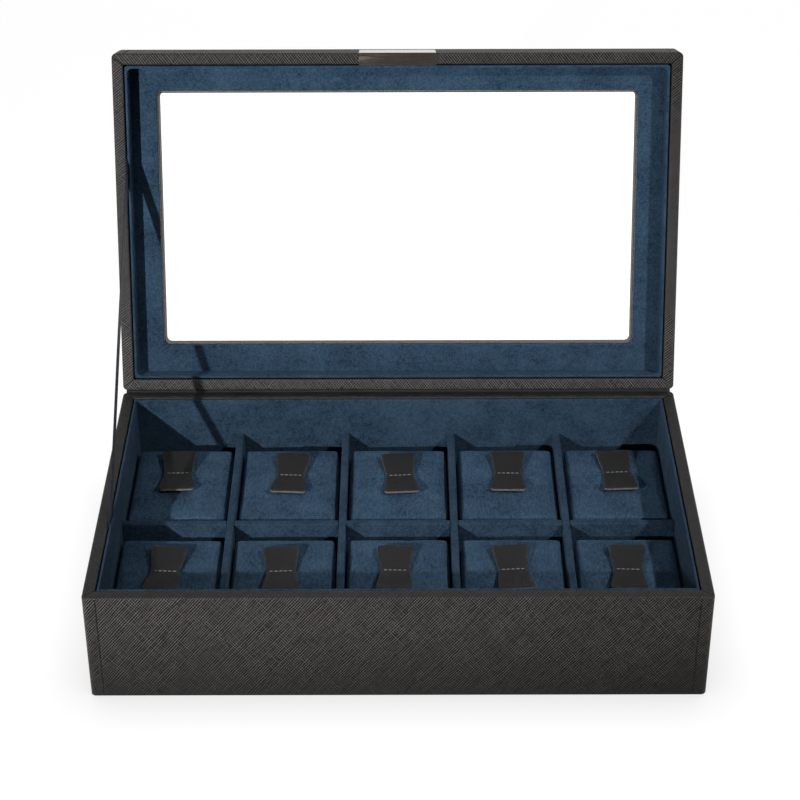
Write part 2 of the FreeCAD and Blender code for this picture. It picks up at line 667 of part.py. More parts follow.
# Hinge strip: leather on the back rim that bends out through the gap onto the lid's back
def hingeStripShape():
    thick, clear = size("stripThick"), size("stripClear")
    placement = lidPlacement()
    back, top = size("deep") / 2, size("baseHigh")
    lid_low = placement.multVec(Vector(0, back + clear, number(LID_RIM) + 2 * size("closedGap")))
    lid_high = placement.multVec(Vector(0, back + clear, number(LID_RIM) + size("stripOnLid")))
    outward = placement.Rotation.multVec(Vector(0, 1, 0))
    inner = [Vector(0, back - number(RIM), top), Vector(0, back - size("edgeRound"), top)]
    inner += [lid_low + outward * thick, lid_high + outward * thick]
    over = [Vector(0, back - number(RIM), top + thick), Vector(0, back - 1.6 * size("edgeRound"), top + thick)]
    over += [lid_low, lid_high]
    shift = Vector(-size("wide") / 2 + size("stripEndInset"), 0, 0)
    corners = [p + shift for p in inner + over[::-1]]
    face = Part.Face(Part.makePolygon(corners + corners[:1]))
    return face.extrude(Vector(size("wide") - 2 * size("stripEndInset"), 0, 0))


strip = doc.addObject("Part::Feature", "hingeStrip")
strip.Shape = hingeStripShape()
piece(strip, "hinge_strip")

doc.recompute()
for thing in doc.Objects:
    if {"Invalid", "Error"} & set(thing.State):
        raise RuntimeError("%s failed: %s" % (thing.Name, thing.State))
for part in PIECES:
    if part.Shape.isNull() or not part.Shape.isValid():
        raise RuntimeError("%s has no valid shape" % part.Label)
for part in PIECES:
    part.Shape.exportStep("parts/%s.step" % part.Label)
    box = part.Shape.BoundBox
    print("%-28s %3d solid %10.1f mm3  z %.1f to %.1f" % (
        part.Label, len(part.Shape.Solids), part.Shape.Volume, box.ZMin, box.ZMax))
print(len(PIECES), "nodes")
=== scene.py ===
import json
import math

import bmesh
import bpy
from mathutils import Matrix, Vector, noise
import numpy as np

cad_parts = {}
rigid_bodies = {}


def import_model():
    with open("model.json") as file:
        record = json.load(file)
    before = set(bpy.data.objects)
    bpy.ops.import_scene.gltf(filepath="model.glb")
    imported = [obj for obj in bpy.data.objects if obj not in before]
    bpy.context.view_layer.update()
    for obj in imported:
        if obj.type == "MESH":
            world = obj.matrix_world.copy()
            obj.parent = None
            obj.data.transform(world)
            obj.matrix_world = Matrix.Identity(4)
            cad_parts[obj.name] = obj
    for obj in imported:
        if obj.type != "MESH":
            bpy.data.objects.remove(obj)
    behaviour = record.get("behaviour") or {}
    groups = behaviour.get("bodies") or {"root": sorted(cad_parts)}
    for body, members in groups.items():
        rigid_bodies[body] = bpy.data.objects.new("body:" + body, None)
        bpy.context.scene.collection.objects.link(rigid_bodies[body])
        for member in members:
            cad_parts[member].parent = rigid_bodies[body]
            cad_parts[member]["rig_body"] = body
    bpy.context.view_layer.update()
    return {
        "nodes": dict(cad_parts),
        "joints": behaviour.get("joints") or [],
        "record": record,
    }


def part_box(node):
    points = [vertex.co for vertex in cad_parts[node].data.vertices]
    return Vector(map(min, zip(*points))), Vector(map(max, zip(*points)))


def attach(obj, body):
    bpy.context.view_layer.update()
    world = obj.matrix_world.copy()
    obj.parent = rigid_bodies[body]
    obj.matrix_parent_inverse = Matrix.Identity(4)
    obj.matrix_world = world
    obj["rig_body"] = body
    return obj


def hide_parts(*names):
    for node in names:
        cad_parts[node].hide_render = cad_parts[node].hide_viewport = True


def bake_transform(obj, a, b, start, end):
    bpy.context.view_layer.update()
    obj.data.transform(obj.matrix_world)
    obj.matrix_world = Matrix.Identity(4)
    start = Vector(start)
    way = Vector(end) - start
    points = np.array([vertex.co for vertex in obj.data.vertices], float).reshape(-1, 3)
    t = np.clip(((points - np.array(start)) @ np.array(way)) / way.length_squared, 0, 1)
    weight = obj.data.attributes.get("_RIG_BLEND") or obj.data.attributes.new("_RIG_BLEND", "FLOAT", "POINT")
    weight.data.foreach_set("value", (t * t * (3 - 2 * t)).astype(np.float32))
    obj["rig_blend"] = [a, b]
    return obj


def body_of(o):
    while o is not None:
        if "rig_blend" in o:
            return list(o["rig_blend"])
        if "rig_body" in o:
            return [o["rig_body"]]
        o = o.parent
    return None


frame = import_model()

mm = 0.001
nodes = frame["nodes"]
lidJoint = next(j for j in frame["joints"] if j["name"] == "lid_hinge")
hingeLine = Vector(lidJoint["pos_m"])
lidAngle = math.radians(-lidJoint["range_deg"][0])
lidTurn = Matrix.Translation(hingeLine) @ Matrix.Rotation(-lidAngle, 4, "X") @ Matrix.Translation(-hingeLine)
lidShut = lidTurn.inverted()


# A lid node's box as it is with the lid shut
def shutBox(node):
    points = [lidShut @ v.co for v in nodes[node].data.vertices]
    low = Vector([min(p[i] for p in points) for i in range(3)])
    return low, Vector([max(p[i] for p in points) for i in range(3)])


# Sizes that the pieces share, read from the frame
trayLow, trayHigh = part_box("base_wrap_leather")
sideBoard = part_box("base_left_board")
linings = {side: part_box("lining_" + side) for side in ("front", "back", "left", "right")}
lidLow, lidHigh = shutBox("lid_wrap_leather")
topLow, topHigh = shutBox("lid_top_leather")
glassHigh = shutBox("glass_pane")[1]
ringLow, ringHigh = shutBox("lid_side_lining")
suedeLow, suedeHigh = shutBox("suede_window_frame")
boxWide = trayHigh.x - trayLow.x
boxDeep = trayHigh.y - trayLow.y
leatherThick = sideBoard[0].x - trayLow.x
boardIn = sideBoard[1].x - trayLow.x
rimWide = boardIn + leatherThick
liningOut = linings["left"][0].x - trayLow.x
liningIn = linings["left"][1].x - trayLow.x

# Camera at the photograph's view, fitted to the box's corners in the 800 px frame
cameraFit = {"focalPixels": 2076.7, "framePixels": 800, "azimuth": 0.06, "elevation": 32.65,
             "roll": -0.16, "distance": 1.13201, "target": (0.00114, 0.0004, 0.12429)}


def makeCamera(fit):
    data = bpy.data.cameras.new("photoCamera")
    data.sensor_width = 36.0
    data.lens = fit["focalPixels"] / fit["framePixels"] * data.sensor_width
    data.clip_start, data.clip_end = 0.05, 50.0
    camera = bpy.data.objects.new("photoCamera", data)
    bpy.context.scene.collection.objects.link(camera)
    az, el = math.radians(fit["azimuth"]), math.radians(fit["elevation"])
    back = Vector((math.sin(az) * math.cos(el), -math.cos(az) * math.cos(el), math.sin(el)))
    turn = (-back).to_track_quat("-Z", "Y").to_matrix().to_4x4()
    roll = Matrix.Rotation(math.radians(fit["roll"]), 4, "Z")
    camera.matrix_world = Matrix.Translation(Vector(fit["target"]) + back * fit["distance"]) @ turn @ roll
    bpy.context.scene.camera = camera


makeCamera(cameraFit)
print("camera set")


# Shader building blocks
def addNode(tree, kind, values=None, **settings):
    node = tree.nodes.new(kind)
    for key, value in settings.items():
        setattr(node, key, value)
    for key, value in (values or {}).items():
        socket = node.inputs[key]
        if isinstance(value, bpy.types.NodeSocket):
            tree.links.new(value, socket)
        else:
            socket.default_value = value
    return node


def sums(tree, operation, a, b=0.0, c=0.0, clamp=False):
    node = addNode(tree, "ShaderNodeMath", {0: a, 1: b, 2: c}, operation=operation, use_clamp=clamp)
    return node.outputs[0]


def spread(tree, value, low, high, toLow=0.0, toHigh=1.0):
    node = addNode(tree, "ShaderNodeMapRange", {"Value": value, "From Min": low, "From Max": high,
                                                "To Min": toLow, "To Max": toHigh}, clamp=True)
    return node.outputs[0]


def cloudy(tree, vector, scale, detail, roughness=0.5):
    node = addNode(tree, "ShaderNodeTexNoise", {"Vector": vector, "Scale": scale, "Detail": detail,
                                                "Roughness": roughness})
    return node.outputs[0]


def mixColours(tree, factor, a, b):
    node = addNode(tree, "ShaderNodeMix", data_type="RGBA", blend_type="MIX")
    for socket, value in ((node.inputs[0], factor), (node.inputs[6], a), (node.inputs[7], b)):
        if isinstance(value, bpy.types.NodeSocket):
            tree.links.new(value, socket)
        else:
            socket.default_value = value
    return node.outputs[2]


def newGroup(name, inputs, outputs):
    tree = bpy.data.node_groups.new(name, "ShaderNodeTree")
    for label, default in inputs:
        kind = "NodeSocketVector" if default is None else "NodeSocketFloat"
        socket = tree.interface.new_socket(name=label, in_out="INPUT", socket_type=kind)
        if default is not None:
            socket.default_value = default
    for label in outputs:
        tree.interface.new_socket(name=label, in_out="OUTPUT", socket_type="NodeSocketFloat")
    entry, leave = tree.nodes.new("NodeGroupInput"), tree.nodes.new("NodeGroupOutput")
    return tree, entry.outputs, leave.inputs


def useGroup(tree, group, values):
    node = tree.nodes.new("ShaderNodeGroup")
    node.node_tree = group
    for key, value in values.items():
        if isinstance(value, bpy.types.NodeSocket):
            tree.links.new(value, node.inputs[key])
        else:
            node.inputs[key].default_value = value
    return node.outputs


# Cross-hatched grain: fine ridges both ways. Their contrast comes and goes, their mean stays
hatchShape = {"sharp": 8.0, "mean": 0.196, "stretch": 0.16, "drift": 0.9, "driftScale": 0.22,
              "patchScale": 0.17, "patch": (0.36, 0.62, 0.6, 1.3), "singleScale": 0.9,
              "single": (0.36, 0.64, 0.1, 2.0)}


def makeHatchGroup():
    look, half = hatchShape, math.sqrt(0.5)
    tree, given, result = newGroup("hatchGrain", [("Vector", None), ("Pitch", 0.001), ("Lean", 0.81),
                                                  ("Cross", 0.5)], ["Height", "Gloss"])
    split = addNode(tree, "ShaderNodeSeparateXYZ", {0: given["Vector"]}).outputs
    rise = sums(tree, "MULTIPLY", split[1], given["Lean"])
    along = sums(tree, "MULTIPLY", sums(tree, "ADD", split[0], rise), half)
    across = sums(tree, "MULTIPLY", sums(tree, "SUBTRACT", split[0], rise), half)
    top = look["mean"]  # of a peak below
    for way, step, seed, share in ((along, across, 3.1, 1.0), (across, along, 7.7, given["Cross"])):
        lines = sums(tree, "DIVIDE", step, given["Pitch"])
        length = sums(tree, "MULTIPLY", sums(tree, "DIVIDE", way, given["Pitch"]), look["stretch"])
        place = addNode(tree, "ShaderNodeCombineXYZ", {0: lines, 1: length, 2: seed}).outputs[0]
        phase = sums(tree, "MULTIPLY_ADD", cloudy(tree, place, look["driftScale"], 1.0), look["drift"], lines)
        wave = sums(tree, "SINE", sums(tree, "MULTIPLY", phase, 2 * math.pi))
        peak = sums(tree, "POWER", sums(tree, "MULTIPLY_ADD", wave, 0.5, 0.5), look["sharp"])
        patch = spread(tree, cloudy(tree, place, look["patchScale"], 1.0), *look["patch"])
        single = spread(tree, cloudy(tree, place, look["singleScale"], 2.0), *look["single"])
        strength = sums(tree, "MULTIPLY", sums(tree, "MULTIPLY", patch, single), share)
        top = sums(tree, "MULTIPLY_ADD", sums(tree, "SUBTRACT", peak, look["mean"]), strength, top)
    top = sums(tree, "MAXIMUM", top, 0.0)
    tree.links.new(top, result["Height"])
    tree.links.new(spread(tree, top, 0.1, 0.7), result["Gloss"])
    return tree


# Fine pores and creases of the smoother leather
def makePoreGroup():
    inputs = [("Vector", None), ("Size", 0.0006)]
    tree, given, result = newGroup("leatherPores", inputs, ["Height", "Tone"])
    scale = sums(tree, "DIVIDE", 1.0, given["Size"])
    cells = addNode(tree, "ShaderNodeTexVoronoi", {"Vector": given["Vector"], "Scale": scale},
                    feature="DISTANCE_TO_EDGE")
    soft = cloudy(tree, given["Vector"], scale, 3.0)
    broad = cloudy(tree, given["Vector"], 60.0, 2.0)
    pebble = spread(tree, cells.outputs["Distance"], 0.0, 0.18)
    tree.links.new(sums(tree, "MULTIPLY_ADD", soft, 0.5, pebble), result["Height"])
    tree.links.new(spread(tree, broad, 0.3, 0.7), result["Tone"])
    return tree


# Brushed nap: fine flecks over broad patches that lie one way or the other
def makeNapGroup():
    tree, given, result = newGroup("suedeNap", [("Vector", None), ("Fleck", 0.0007), ("Patch", 0.011)],
                                   ["Height", "Tone", "Tint"])
    fleck = cloudy(tree, given["Vector"], sums(tree, "DIVIDE", 1.0, given["Fleck"]), 3.0, 0.65)
    patch = cloudy(tree, given["Vector"], sums(tree, "DIVIDE", 1.0, given["Patch"]), 3.0, 0.6)
    fibres = addNode(tree, "ShaderNodeMapping", {"Vector": given["Vector"], "Scale": (1.0, 0.35, 1.0)})
    streak = cloudy(tree, fibres.outputs[0], sums(tree, "DIVIDE", 0.6, given["Fleck"]), 2.0)
    rough = sums(tree, "ADD", fleck, sums(tree, "MULTIPLY", streak, 0.5))
    tree.links.new(rough, result["Height"])
    tone = sums(tree, "ADD", spread(tree, rough, 0.62, 0.88, 0.0, 0.62),
                spread(tree, patch, 0.36, 0.64, 0.0, 0.38))
    tree.links.new(tone, result["Tone"])
    tint = cloudy(tree, given["Vector"], 420.0, 1.0)
    tree.links.new(spread(tree, tint, 0.35, 0.65), result["Tint"])
    return tree


# Woven thread or ribbon: a twill of small bars
def makeWeaveGroup():
    inputs = [("Vector", None), ("Pitch", 0.0004)]
    tree, given, result = newGroup("fineWeave", inputs, ["Height", "Tone"])
    split = addNode(tree, "ShaderNodeSeparateXYZ", {0: given["Vector"]}).outputs
    turns = [sums(tree, "MULTIPLY", sums(tree, "DIVIDE", s, given["Pitch"]), math.pi) for s in split[:2]]
    warp = sums(tree, "ABSOLUTE", sums(tree, "SINE", turns[0]))
    weft = sums(tree, "ABSOLUTE", sums(tree, "SINE", sums(tree, "ADD", turns[1], turns[0])))
    tree.links.new(sums(tree, "MULTIPLY", warp, weft), result["Height"])
    tree.links.new(spread(tree, warp, 0.0, 1.0, 0.7, 1.0), result["Tone"])
    return tree


# Wear and dust, and on the metal also painted glint: where an edge is sharp and a noise lets it through
def makeWearAndGlintGroup():
    inputs = [("Vector", None), ("Edge", 0.0), ("Amount", 0.5)]
    tree, given, result = newGroup("edgeWearAndGlint", inputs, ["Mask"])
    marks = cloudy(tree, given["Vector"], 300.0, 4.0)
    worn = sums(tree, "MULTIPLY", given["Edge"], spread(tree, marks, 0.4, 0.7))
    tree.links.new(sums(tree, "MULTIPLY", worn, given["Amount"], clamp=True), result["Mask"])
    return tree


hatchGroup, poreGroup, napGroup = makeHatchGroup(), makePoreGroup(), makeNapGroup()
weaveGroup, wearAndGlintGroup = makeWeaveGroup(), makeWearAndGlintGroup()


def startMaterial(name, principled):
    material = bpy.data.materials.new(name)
    material.use_nodes = True
    tree = material.node_tree
    shader = tree.nodes["Principled BSDF"]
    for key, value in principled.items():
        shader.inputs[key].default_value = value
    return material, tree, shader


def objectPlace(tree):
    return tree.nodes.new("ShaderNodeTexCoord").outputs["Object"]


def ownUv(tree):
    return tree.nodes.new("ShaderNodeTexCoord").outputs["UV"]


def attributeValue(tree, name):
    return addNode(tree, "ShaderNodeAttribute", attribute_name=name).outputs["Fac"]


def wearAndGlintMask(tree, place, amount):
    edge = attributeValue(tree, "edge")
    return useGroup(tree, wearAndGlintGroup, {"Vector": place, "Edge": edge, "Amount": amount})["Mask"]


def addBump(tree, shader, height, distance, strength=1.0):
    values = {"Height": height, "Distance": distance, "Strength": strength}
    bump = addNode(tree, "ShaderNodeBump", values)
    tree.links.new(bump.outputs[0], shader.inputs["Normal"])


def grey(value, warm=0.0):
    return (value * (1 + warm), value, value * (1 - warm), 1)


shellLook = {"valleyShade": (0.001, 0.001, 0.001, 1), "ridgeHighlight": (0.29, 0.274, 0.262, 1),
             "smooth": (0.0135, 0.0118, 0.0113, 1), "pitch": 0.00112, "lean": 0.81, "cross": 0.5,
             "relief": 0.00005, "pore": 0.0005}


def makeShellLeather(look):
    material, tree, shader = startMaterial("shellLeather", {"Roughness": 0.5, "Specular IOR Level": 0.24})
    uv = ownUv(tree)
    # This mask makes the rims smooth and also paints shade low on the outside wall
    rim = attributeValue(tree, "rimAndFootShadeMask")
    hatch = useGroup(tree, hatchGroup, {"Vector": uv, "Pitch": look["pitch"], "Lean": look["lean"],
                                        "Cross": look["cross"]})
    pores = useGroup(tree, poreGroup, {"Vector": uv, "Size": look["pore"]})
    # The grain's near-black valleys and light ridges are painted shade in its grooves and painted highlights
    # on its ridges; the bump gives its relief
    ridges = sums(tree, "MULTIPLY", hatch["Height"], 1.0, clamp=True)
    hatched = mixColours(tree, ridges, look["valleyShade"], look["ridgeHighlight"])
    smooth = mixColours(tree, sums(tree, "MULTIPLY", pores["Height"], 0.6), grey(0.009), look["smooth"])
    colour = mixColours(tree, sums(tree, "MULTIPLY", rim, 0.85), hatched, smooth)
    colour = mixColours(tree, sums(tree, "MULTIPLY", pores["Tone"], 0.12), colour, (0.03, 0.027, 0.026, 1))
    colour = mixColours(tree, wearAndGlintMask(tree, uv, 0.35), colour, (0.09, 0.086, 0.082, 1))
    tree.links.new(colour, shader.inputs["Base Color"])
    depth = spread(tree, rim, 0.0, 1.0, 1.0, 0.28)
    height = sums(tree, "ADD", sums(tree, "MULTIPLY", hatch["Height"], depth),
                  sums(tree, "MULTIPLY", pores["Height"], 0.16))
    addBump(tree, shader, height, look["relief"])
    tree.links.new(spread(tree, hatch["Gloss"], 0.0, 1.0, 0.56, 0.42), shader.inputs["Roughness"])
    return material


suedeLook = {"dark": (0.010, 0.027, 0.052, 1), "light": (0.060, 0.120, 0.192, 1),
             "violet": (0.052, 0.079, 0.145, 1)}


# The linings' colour is scaled darker low down and lighter high up, as painted shade and painted light where
# the lamps' light falls off; the cushions' is even
def makeSuede(name, look, fleck, patch, relief, paintedFalloff=None):
    material, tree, shader = startMaterial(name, {"Roughness": 0.95, "Specular IOR Level": 0.12,
                                                  "Sheen Weight": 0.12, "Sheen Roughness": 0.45,
                                                  "Sheen Tint": (0.35, 0.5, 0.75, 1)})
    place = objectPlace(tree)
    nap = useGroup(tree, napGroup, {"Vector": place, "Fleck": fleck, "Patch": patch})
    colour = mixColours(tree, nap["Tone"], look["dark"], look["light"])
    colour = mixColours(tree, sums(tree, "MULTIPLY", nap["Tint"], 0.22), colour, look["violet"])
    colour = mixColours(tree, wearAndGlintMask(tree, place, 0.4), colour, (0.075, 0.15, 0.235, 1))
    # Painted shade low down and painted light high up: the colour is scaled by the height
    if paintedFalloff:
        high = addNode(tree, "ShaderNodeSeparateXYZ", {0: place}).outputs[2]
        values = {0: colour, "Scale": spread(tree, high, *paintedFalloff)}
        colour = addNode(tree, "ShaderNodeVectorMath", values, operation="SCALE").outputs[0]
    tree.links.new(colour, shader.inputs["Base Color"])
    addBump(tree, shader, nap["Height"], relief)
    return material


def makeSmoothLeather(name, dark, light, pore, relief, roughness):
    material, tree, shader = startMaterial(name, {"Roughness": roughness, "Specular IOR Level": 0.35})
    place = objectPlace(tree)
    pores = useGroup(tree, poreGroup, {"Vector": place, "Size": pore})
    colour = mixColours(tree, pores["Tone"], dark, light)
    colour = mixColours(tree, wearAndGlintMask(tree, place, 0.5), colour, grey(0.09, 0.04))
    tree.links.new(colour, shader.inputs["Base Color"])
    dull = spread(tree, pores["Tone"], 0, 1, roughness - 0.08, roughness + 0.08)
    tree.links.new(dull, shader.inputs["Roughness"])
    addBump(tree, shader, pores["Height"], relief)
    return material


def makeRawEdge():
    material, tree, shader = startMaterial("rawLeatherEdge", {"Roughness": 0.9, "Specular IOR Level": 0.15})
    place = objectPlace(tree)
    strands = cloudy(tree, place, 1900.0, 4.0)
    tone = spread(tree, strands, 0.3, 0.7)
    colour = mixColours(tree, tone, (0.07, 0.06, 0.056, 1), (0.27, 0.25, 0.24, 1))
    tree.links.new(colour, shader.inputs["Base Color"])
    addBump(tree, shader, strands, 0.0002)
    return material


def makeBoard():
    material, tree, shader = startMaterial("fibreBoard", {"Roughness": 0.9})
    place = objectPlace(tree)
    chips = cloudy(tree, place, 700.0, 5.0)
    broad = cloudy(tree, place, 40.0, 2.0)
    mixed = sums(tree, "MULTIPLY_ADD", broad, 0.4, sums(tree, "MULTIPLY", chips, 0.6))
    tone = spread(tree, mixed, 0.35, 0.65)
    colour = mixColours(tree, tone, (0.2, 0.145, 0.1, 1), (0.36, 0.27, 0.19, 1))
    tree.links.new(colour, shader.inputs["Base Color"])
    addBump(tree, shader, chips, 0.0001)
    return material


def makeFelt():
    material, tree, shader = startMaterial("undersideFelt", {"Roughness": 1.0, "Specular IOR Level": 0.1,
                                                            "Sheen Weight": 0.2})
    place = objectPlace(tree)
    nap = useGroup(tree, napGroup, {"Vector": place, "Fleck": 0.0009, "Patch": 0.02})
    tree.links.new(mixColours(tree, nap["Tone"], grey(0.008), grey(0.03)), shader.inputs["Base Color"])
    addBump(tree, shader, nap["Height"], 0.0004)
    return material


# The pane doesn't bend the light; its coat gives the reflection
glassLook = {"Base Color": (0.99, 1.0, 0.995, 1), "IOR": 1.0, "Transmission Weight": 1.0, "Coat Weight": 1.0,
             "Coat IOR": 1.5, "Coat Roughness": 0.02}


def makeGlass():
    material, tree, shader = startMaterial("windowGlass", glassLook)
    dust = cloudy(tree, objectPlace(tree), 120.0, 6.0)
    tree.links.new(spread(tree, dust, 0.4, 0.9, 0.0, 0.06), shader.inputs["Roughness"])
    clear = addNode(tree, "ShaderNodeBsdfTransparent", {"Color": (0.9, 0.93, 0.92, 1)})
    shadow = tree.nodes.new("ShaderNodeLightPath").outputs["Is Shadow Ray"]
    mix = addNode(tree, "ShaderNodeMixShader", {0: shadow, 1: shader.outputs[0], 2: clear.outputs[0]})
    tree.links.new(mix.outputs[0], tree.nodes["Material Output"].inputs["Surface"])
    return material


def makeMetal(name, dark, light, roughness, grainWay, relief):
    material, tree, shader = startMaterial(name, {"Metallic": 1.0, "Roughness": roughness})
    place = addNode(tree, "ShaderNodeMapping", {"Vector": objectPlace(tree), "Scale": grainWay})
    lines = cloudy(tree, place.outputs[0], 1.0, 4.0)
    colour = mixColours(tree, spread(tree, lines, 0.3, 0.7), dark, light)
    # Painted sheen: the colour turns near-white where the surface turns away from the view
    grazingSheen = addNode(tree, "ShaderNodeLayerWeight", {"Blend": 0.5}).outputs["Facing"]
    colour = mixColours(tree, spread(tree, grazingSheen, 0.5, 0.8), colour, grey(0.95))
    # The metal's edges are lightened: partly rubbed wear, partly painted glint
    colour = mixColours(tree, wearAndGlintMask(tree, objectPlace(tree), 0.3), colour, grey(0.85))
    tree.links.new(colour, shader.inputs["Base Color"])
    dull = spread(tree, lines, 0.3, 0.7, roughness - 0.04, roughness + 0.05)
    tree.links.new(dull, shader.inputs["Roughness"])
    addBump(tree, shader, lines, relief)
    return material


def makeThread(name, dark, light):
    material, tree, shader = startMaterial(name, {"Roughness": 0.6, "Specular IOR Level": 0.3,
                                                  "Sheen Weight": 0.2})
    place = objectPlace(tree)
    weave = useGroup(tree, weaveGroup, {"Vector": place, "Pitch": 0.00022})
    tree.links.new(mixColours(tree, weave["Height"], dark, light), shader.inputs["Base Color"])
    addBump(tree, shader, weave["Height"], 0.00006)
    return material


def makeRibbon():
    material, tree, shader = startMaterial("ribbonWeave", {"Roughness": 0.55, "Specular IOR Level": 0.3,
                                                          "Sheen Weight": 0.15})
    weave = useGroup(tree, weaveGroup, {"Vector": ownUv(tree), "Pitch": 0.00035})
    tree.links.new(mixColours(tree, weave["Height"], (0.006, 0.009, 0.018, 1), (0.018, 0.028, 0.052, 1)),
                   shader.inputs["Base Color"])
    addBump(tree, shader, weave["Height"], 0.00008)
    return material


looks = {
    "shell_leather": makeShellLeather(shellLook),
    "strip_leather": makeSmoothLeather("stripLeather", grey(0.006), grey(0.014), 0.0005, 0.00008, 0.55),
    "tab_leather": makeSmoothLeather("tabLeather", grey(0.007, 0.02), grey(0.011, 0.02), 0.00035, 0.00004,
                                     0.7),
    "board": makeBoard(),
    # The last numbers scale the linings' colour by height, as painted shade and painted light
    "suede": makeSuede("liningSuede", suedeLook, 0.00085, 0.02, 0.0003, (0.05, 0.28, 0.65, 1.22)),
    "cushion_suede": makeSuede("cushionSuede", suedeLook, 0.0009, 0.022, 0.00034),
    "felt": makeFelt(),
    "window_glass": makeGlass(),
    # The clasp's warm brown is painted reflection of a warm surround on the nickel
    "clasp_metal": makeMetal("claspNickel", (0.42, 0.35, 0.29, 1), (0.54, 0.46, 0.38, 1), 0.1,
                             (90.0, 900.0, 900.0), 0.0000003),
    "magnet": makeMetal("platedMagnet", grey(0.45), grey(0.6), 0.25, (300.0, 300.0, 300.0), 0.000002),
    "thread": makeThread("seamThread", (0.003, 0.004, 0.008, 1), (0.02, 0.024, 0.036, 1)),
    "ribbon": makeRibbon(),
}
rawEdge = makeRawEdge()
paleThread = makeThread("tabThread", (0.14, 0.15, 0.17, 1), (0.34, 0.37, 0.4, 1))
for entry in frame["record"]["subparts"]:
    data = nodes[entry["node"]].data
    data.materials.clear()
    data.materials.append(looks[entry["material_slot"]])
print("materials made:", len(looks) + 2)


# Mesh helpers
# How sharp the surface bends outwards at each corner, for the wear
def markEdges(mesh):
    shape = bmesh.new()
    shape.from_mesh(mesh)
    values = []
    for vertex in shape.verts:
        bends = [e.calc_face_angle_signed(0.0) for e in vertex.link_edges]
        values.append(min(1.0, max(0.0, max(bends, default=0.0)) / 0.5))
    shape.free()
    layer = mesh.attributes.new("edge", "FLOAT", "POINT")
    layer.data.foreach_set("value", values)


def makePiece(name, shape, materials, body, replaced=(), flatOver=None, sharp=40.0, place=None):
    if place is not None:
        shape.transform(place)
    mesh = bpy.data.meshes.new(name)
    shape.to_mesh(mesh)
    shape.free()
    for polygon in mesh.polygons:
        polygon.use_smooth = flatOver is None or polygon.area < flatOver
    mesh.set_sharp_from_angle(angle=math.radians(sharp))
    markEdges(mesh)
    for material in materials:
        mesh.materials.append(material)
    piece = bpy.data.objects.new(name, mesh)
    bpy.context.scene.collection.objects.link(piece)
    if body:
        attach(piece, body)
    if replaced:
        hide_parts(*replaced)
    return piece


# Leather and suede rings follow the four walls; each point of the section has its own corner radius
def sideStations(side, creases, step):
    stations = [("start", side, c) for c in creases]
    stations += [("middle", side, (i + 1) / step) for i in range(step - 1)]
    return stations + [("end", side, c) for c in reversed(creases)]


def arcStations(side, arcs):
    return [("arc", side, (i + 1) / arcs) for i in range(arcs - 1)]


def ringStations(creases, step, arcs):
    stations = []
    for side in range(4):
        stations += sideStations(side, creases, step) + arcStations(side, arcs)
    return stations


# A station's point on the plan, its place along the ring, and how far it lies from the corner's mitre
def stationPoint(station, inset, radius, wide, deep, seam=0.0):
    kind, side, value = station
    along = Vector(((1, 0), (0, 1), (-1, 0), (0, -1))[side % 4])
    inward = Vector((-along.y, along.x))
    length = deep if side % 2 else wide
    start = Vector((wide / 2 * (-1, 1, 1, -1)[side % 4], deep / 2 * (-1, -1, 1, 1)[side % 4]))
    before = sum((wide, deep, wide, deep)[:side])
    clear = inset + radius
    if kind == "arc":
        turn = value * math.pi / 2
        centre = start + along * (length - clear) + inward * clear
        point = centre + radius * (along * math.sin(turn) - inward * math.cos(turn))
        return point, before + length - clear + 2 * clear * value, 0.0
    fromSeam = (seam - clear) * value
    near = {"start": value, "end": value, "toCorner": fromSeam, "fromCorner": fromSeam,
            "middle": (length - 2 * clear) * value, "place": value - clear}[kind]
    reach = length - clear - near if kind in ("end", "toCorner") else clear + near
    mitre = min(reach - clear, length - clear - reach)
    return start + along * reach + inward * inset, before + reach, mitre


def sweepRing(stations, section, radiusAt, wide, deep, closed, relief=None, seam=0.0):
    shape = bmesh.new()
    uvLayer = shape.loops.layers.uv.new("UVMap")
    rimAndFootShadeLayer = shape.verts.layers.float.new("rimAndFootShadeMask")
    rows, places = [], []
    lengths = [0.0]
    for a, b in zip(section, section[1:]):
        lengths.append(lengths[-1] + math.hypot(b[0] - a[0], b[1] - a[1]))
    for station in stations:
        row, place = [], []
        for (inset, z, rim), v in zip(section, lengths):
            flat, u, mitre = stationPoint(station, inset, radiusAt(inset), wide, deep, seam)
            spot = Vector((flat.x, flat.y, z))
            if relief:
                spot += relief(station[1] % 4, inset, z, u, mitre)
            vertex = shape.verts.new(spot)
            vertex[rimAndFootShadeLayer] = rim
            row.append(vertex)
            place.append((u, v))
        rows.append(row)
        places.append(place)
    count, total = len(section), len(rows)
    total = total if closed else total - 1
    turn = 2 * (wide + deep) if closed else 0.0
    for i in range(total):
        j = (i + 1) % len(rows)
        lift = turn if j == 0 else 0.0
        for k in range(count):
            n = (k + 1) % count
            face = shape.faces.new((rows[i][k], rows[j][k], rows[j][n], rows[i][n]))
            vn = places[i][n][1] if n else lengths[-1] + 0.001
            spots = ((places[i][k][0], places[i][k][1]), (places[j][k][0] + lift, places[j][k][1]),
                     (places[j][n][0] + lift, vn), (places[i][n][0], vn))
            for loop, spot in zip(face.loops, spots):
                loop[uvLayer].uv = spot
    if not closed:
        for row in (rows[0], rows[-1]):
            shape.faces.new(row)
    bmesh.ops.remove_doubles(shape, verts=shape.verts, dist=1e-7)
    bmesh.ops.recalc_face_normals(shape, faces=shape.faces)
    return shape


# An arc of section points, angles in degrees
def bend(centre, radius, start, stop, steps, rim):
    points = []
    for i in range(steps + 1):
        a = math.radians(start + (stop - start) * i / steps)
        mask = rim[0] + (rim[1] - rim[0]) * i / steps
        points.append((centre[0] + radius * math.cos(a), centre[1] + radius * math.sin(a), mask))
    return points


# A straight stretch of section points between two ends
def run(a, b, steps, rim):
    return [(a[0] + (b[0] - a[0]) * i / steps, a[1] + (b[1] - a[1]) * i / steps, rim)
            for i in range(1, steps)]


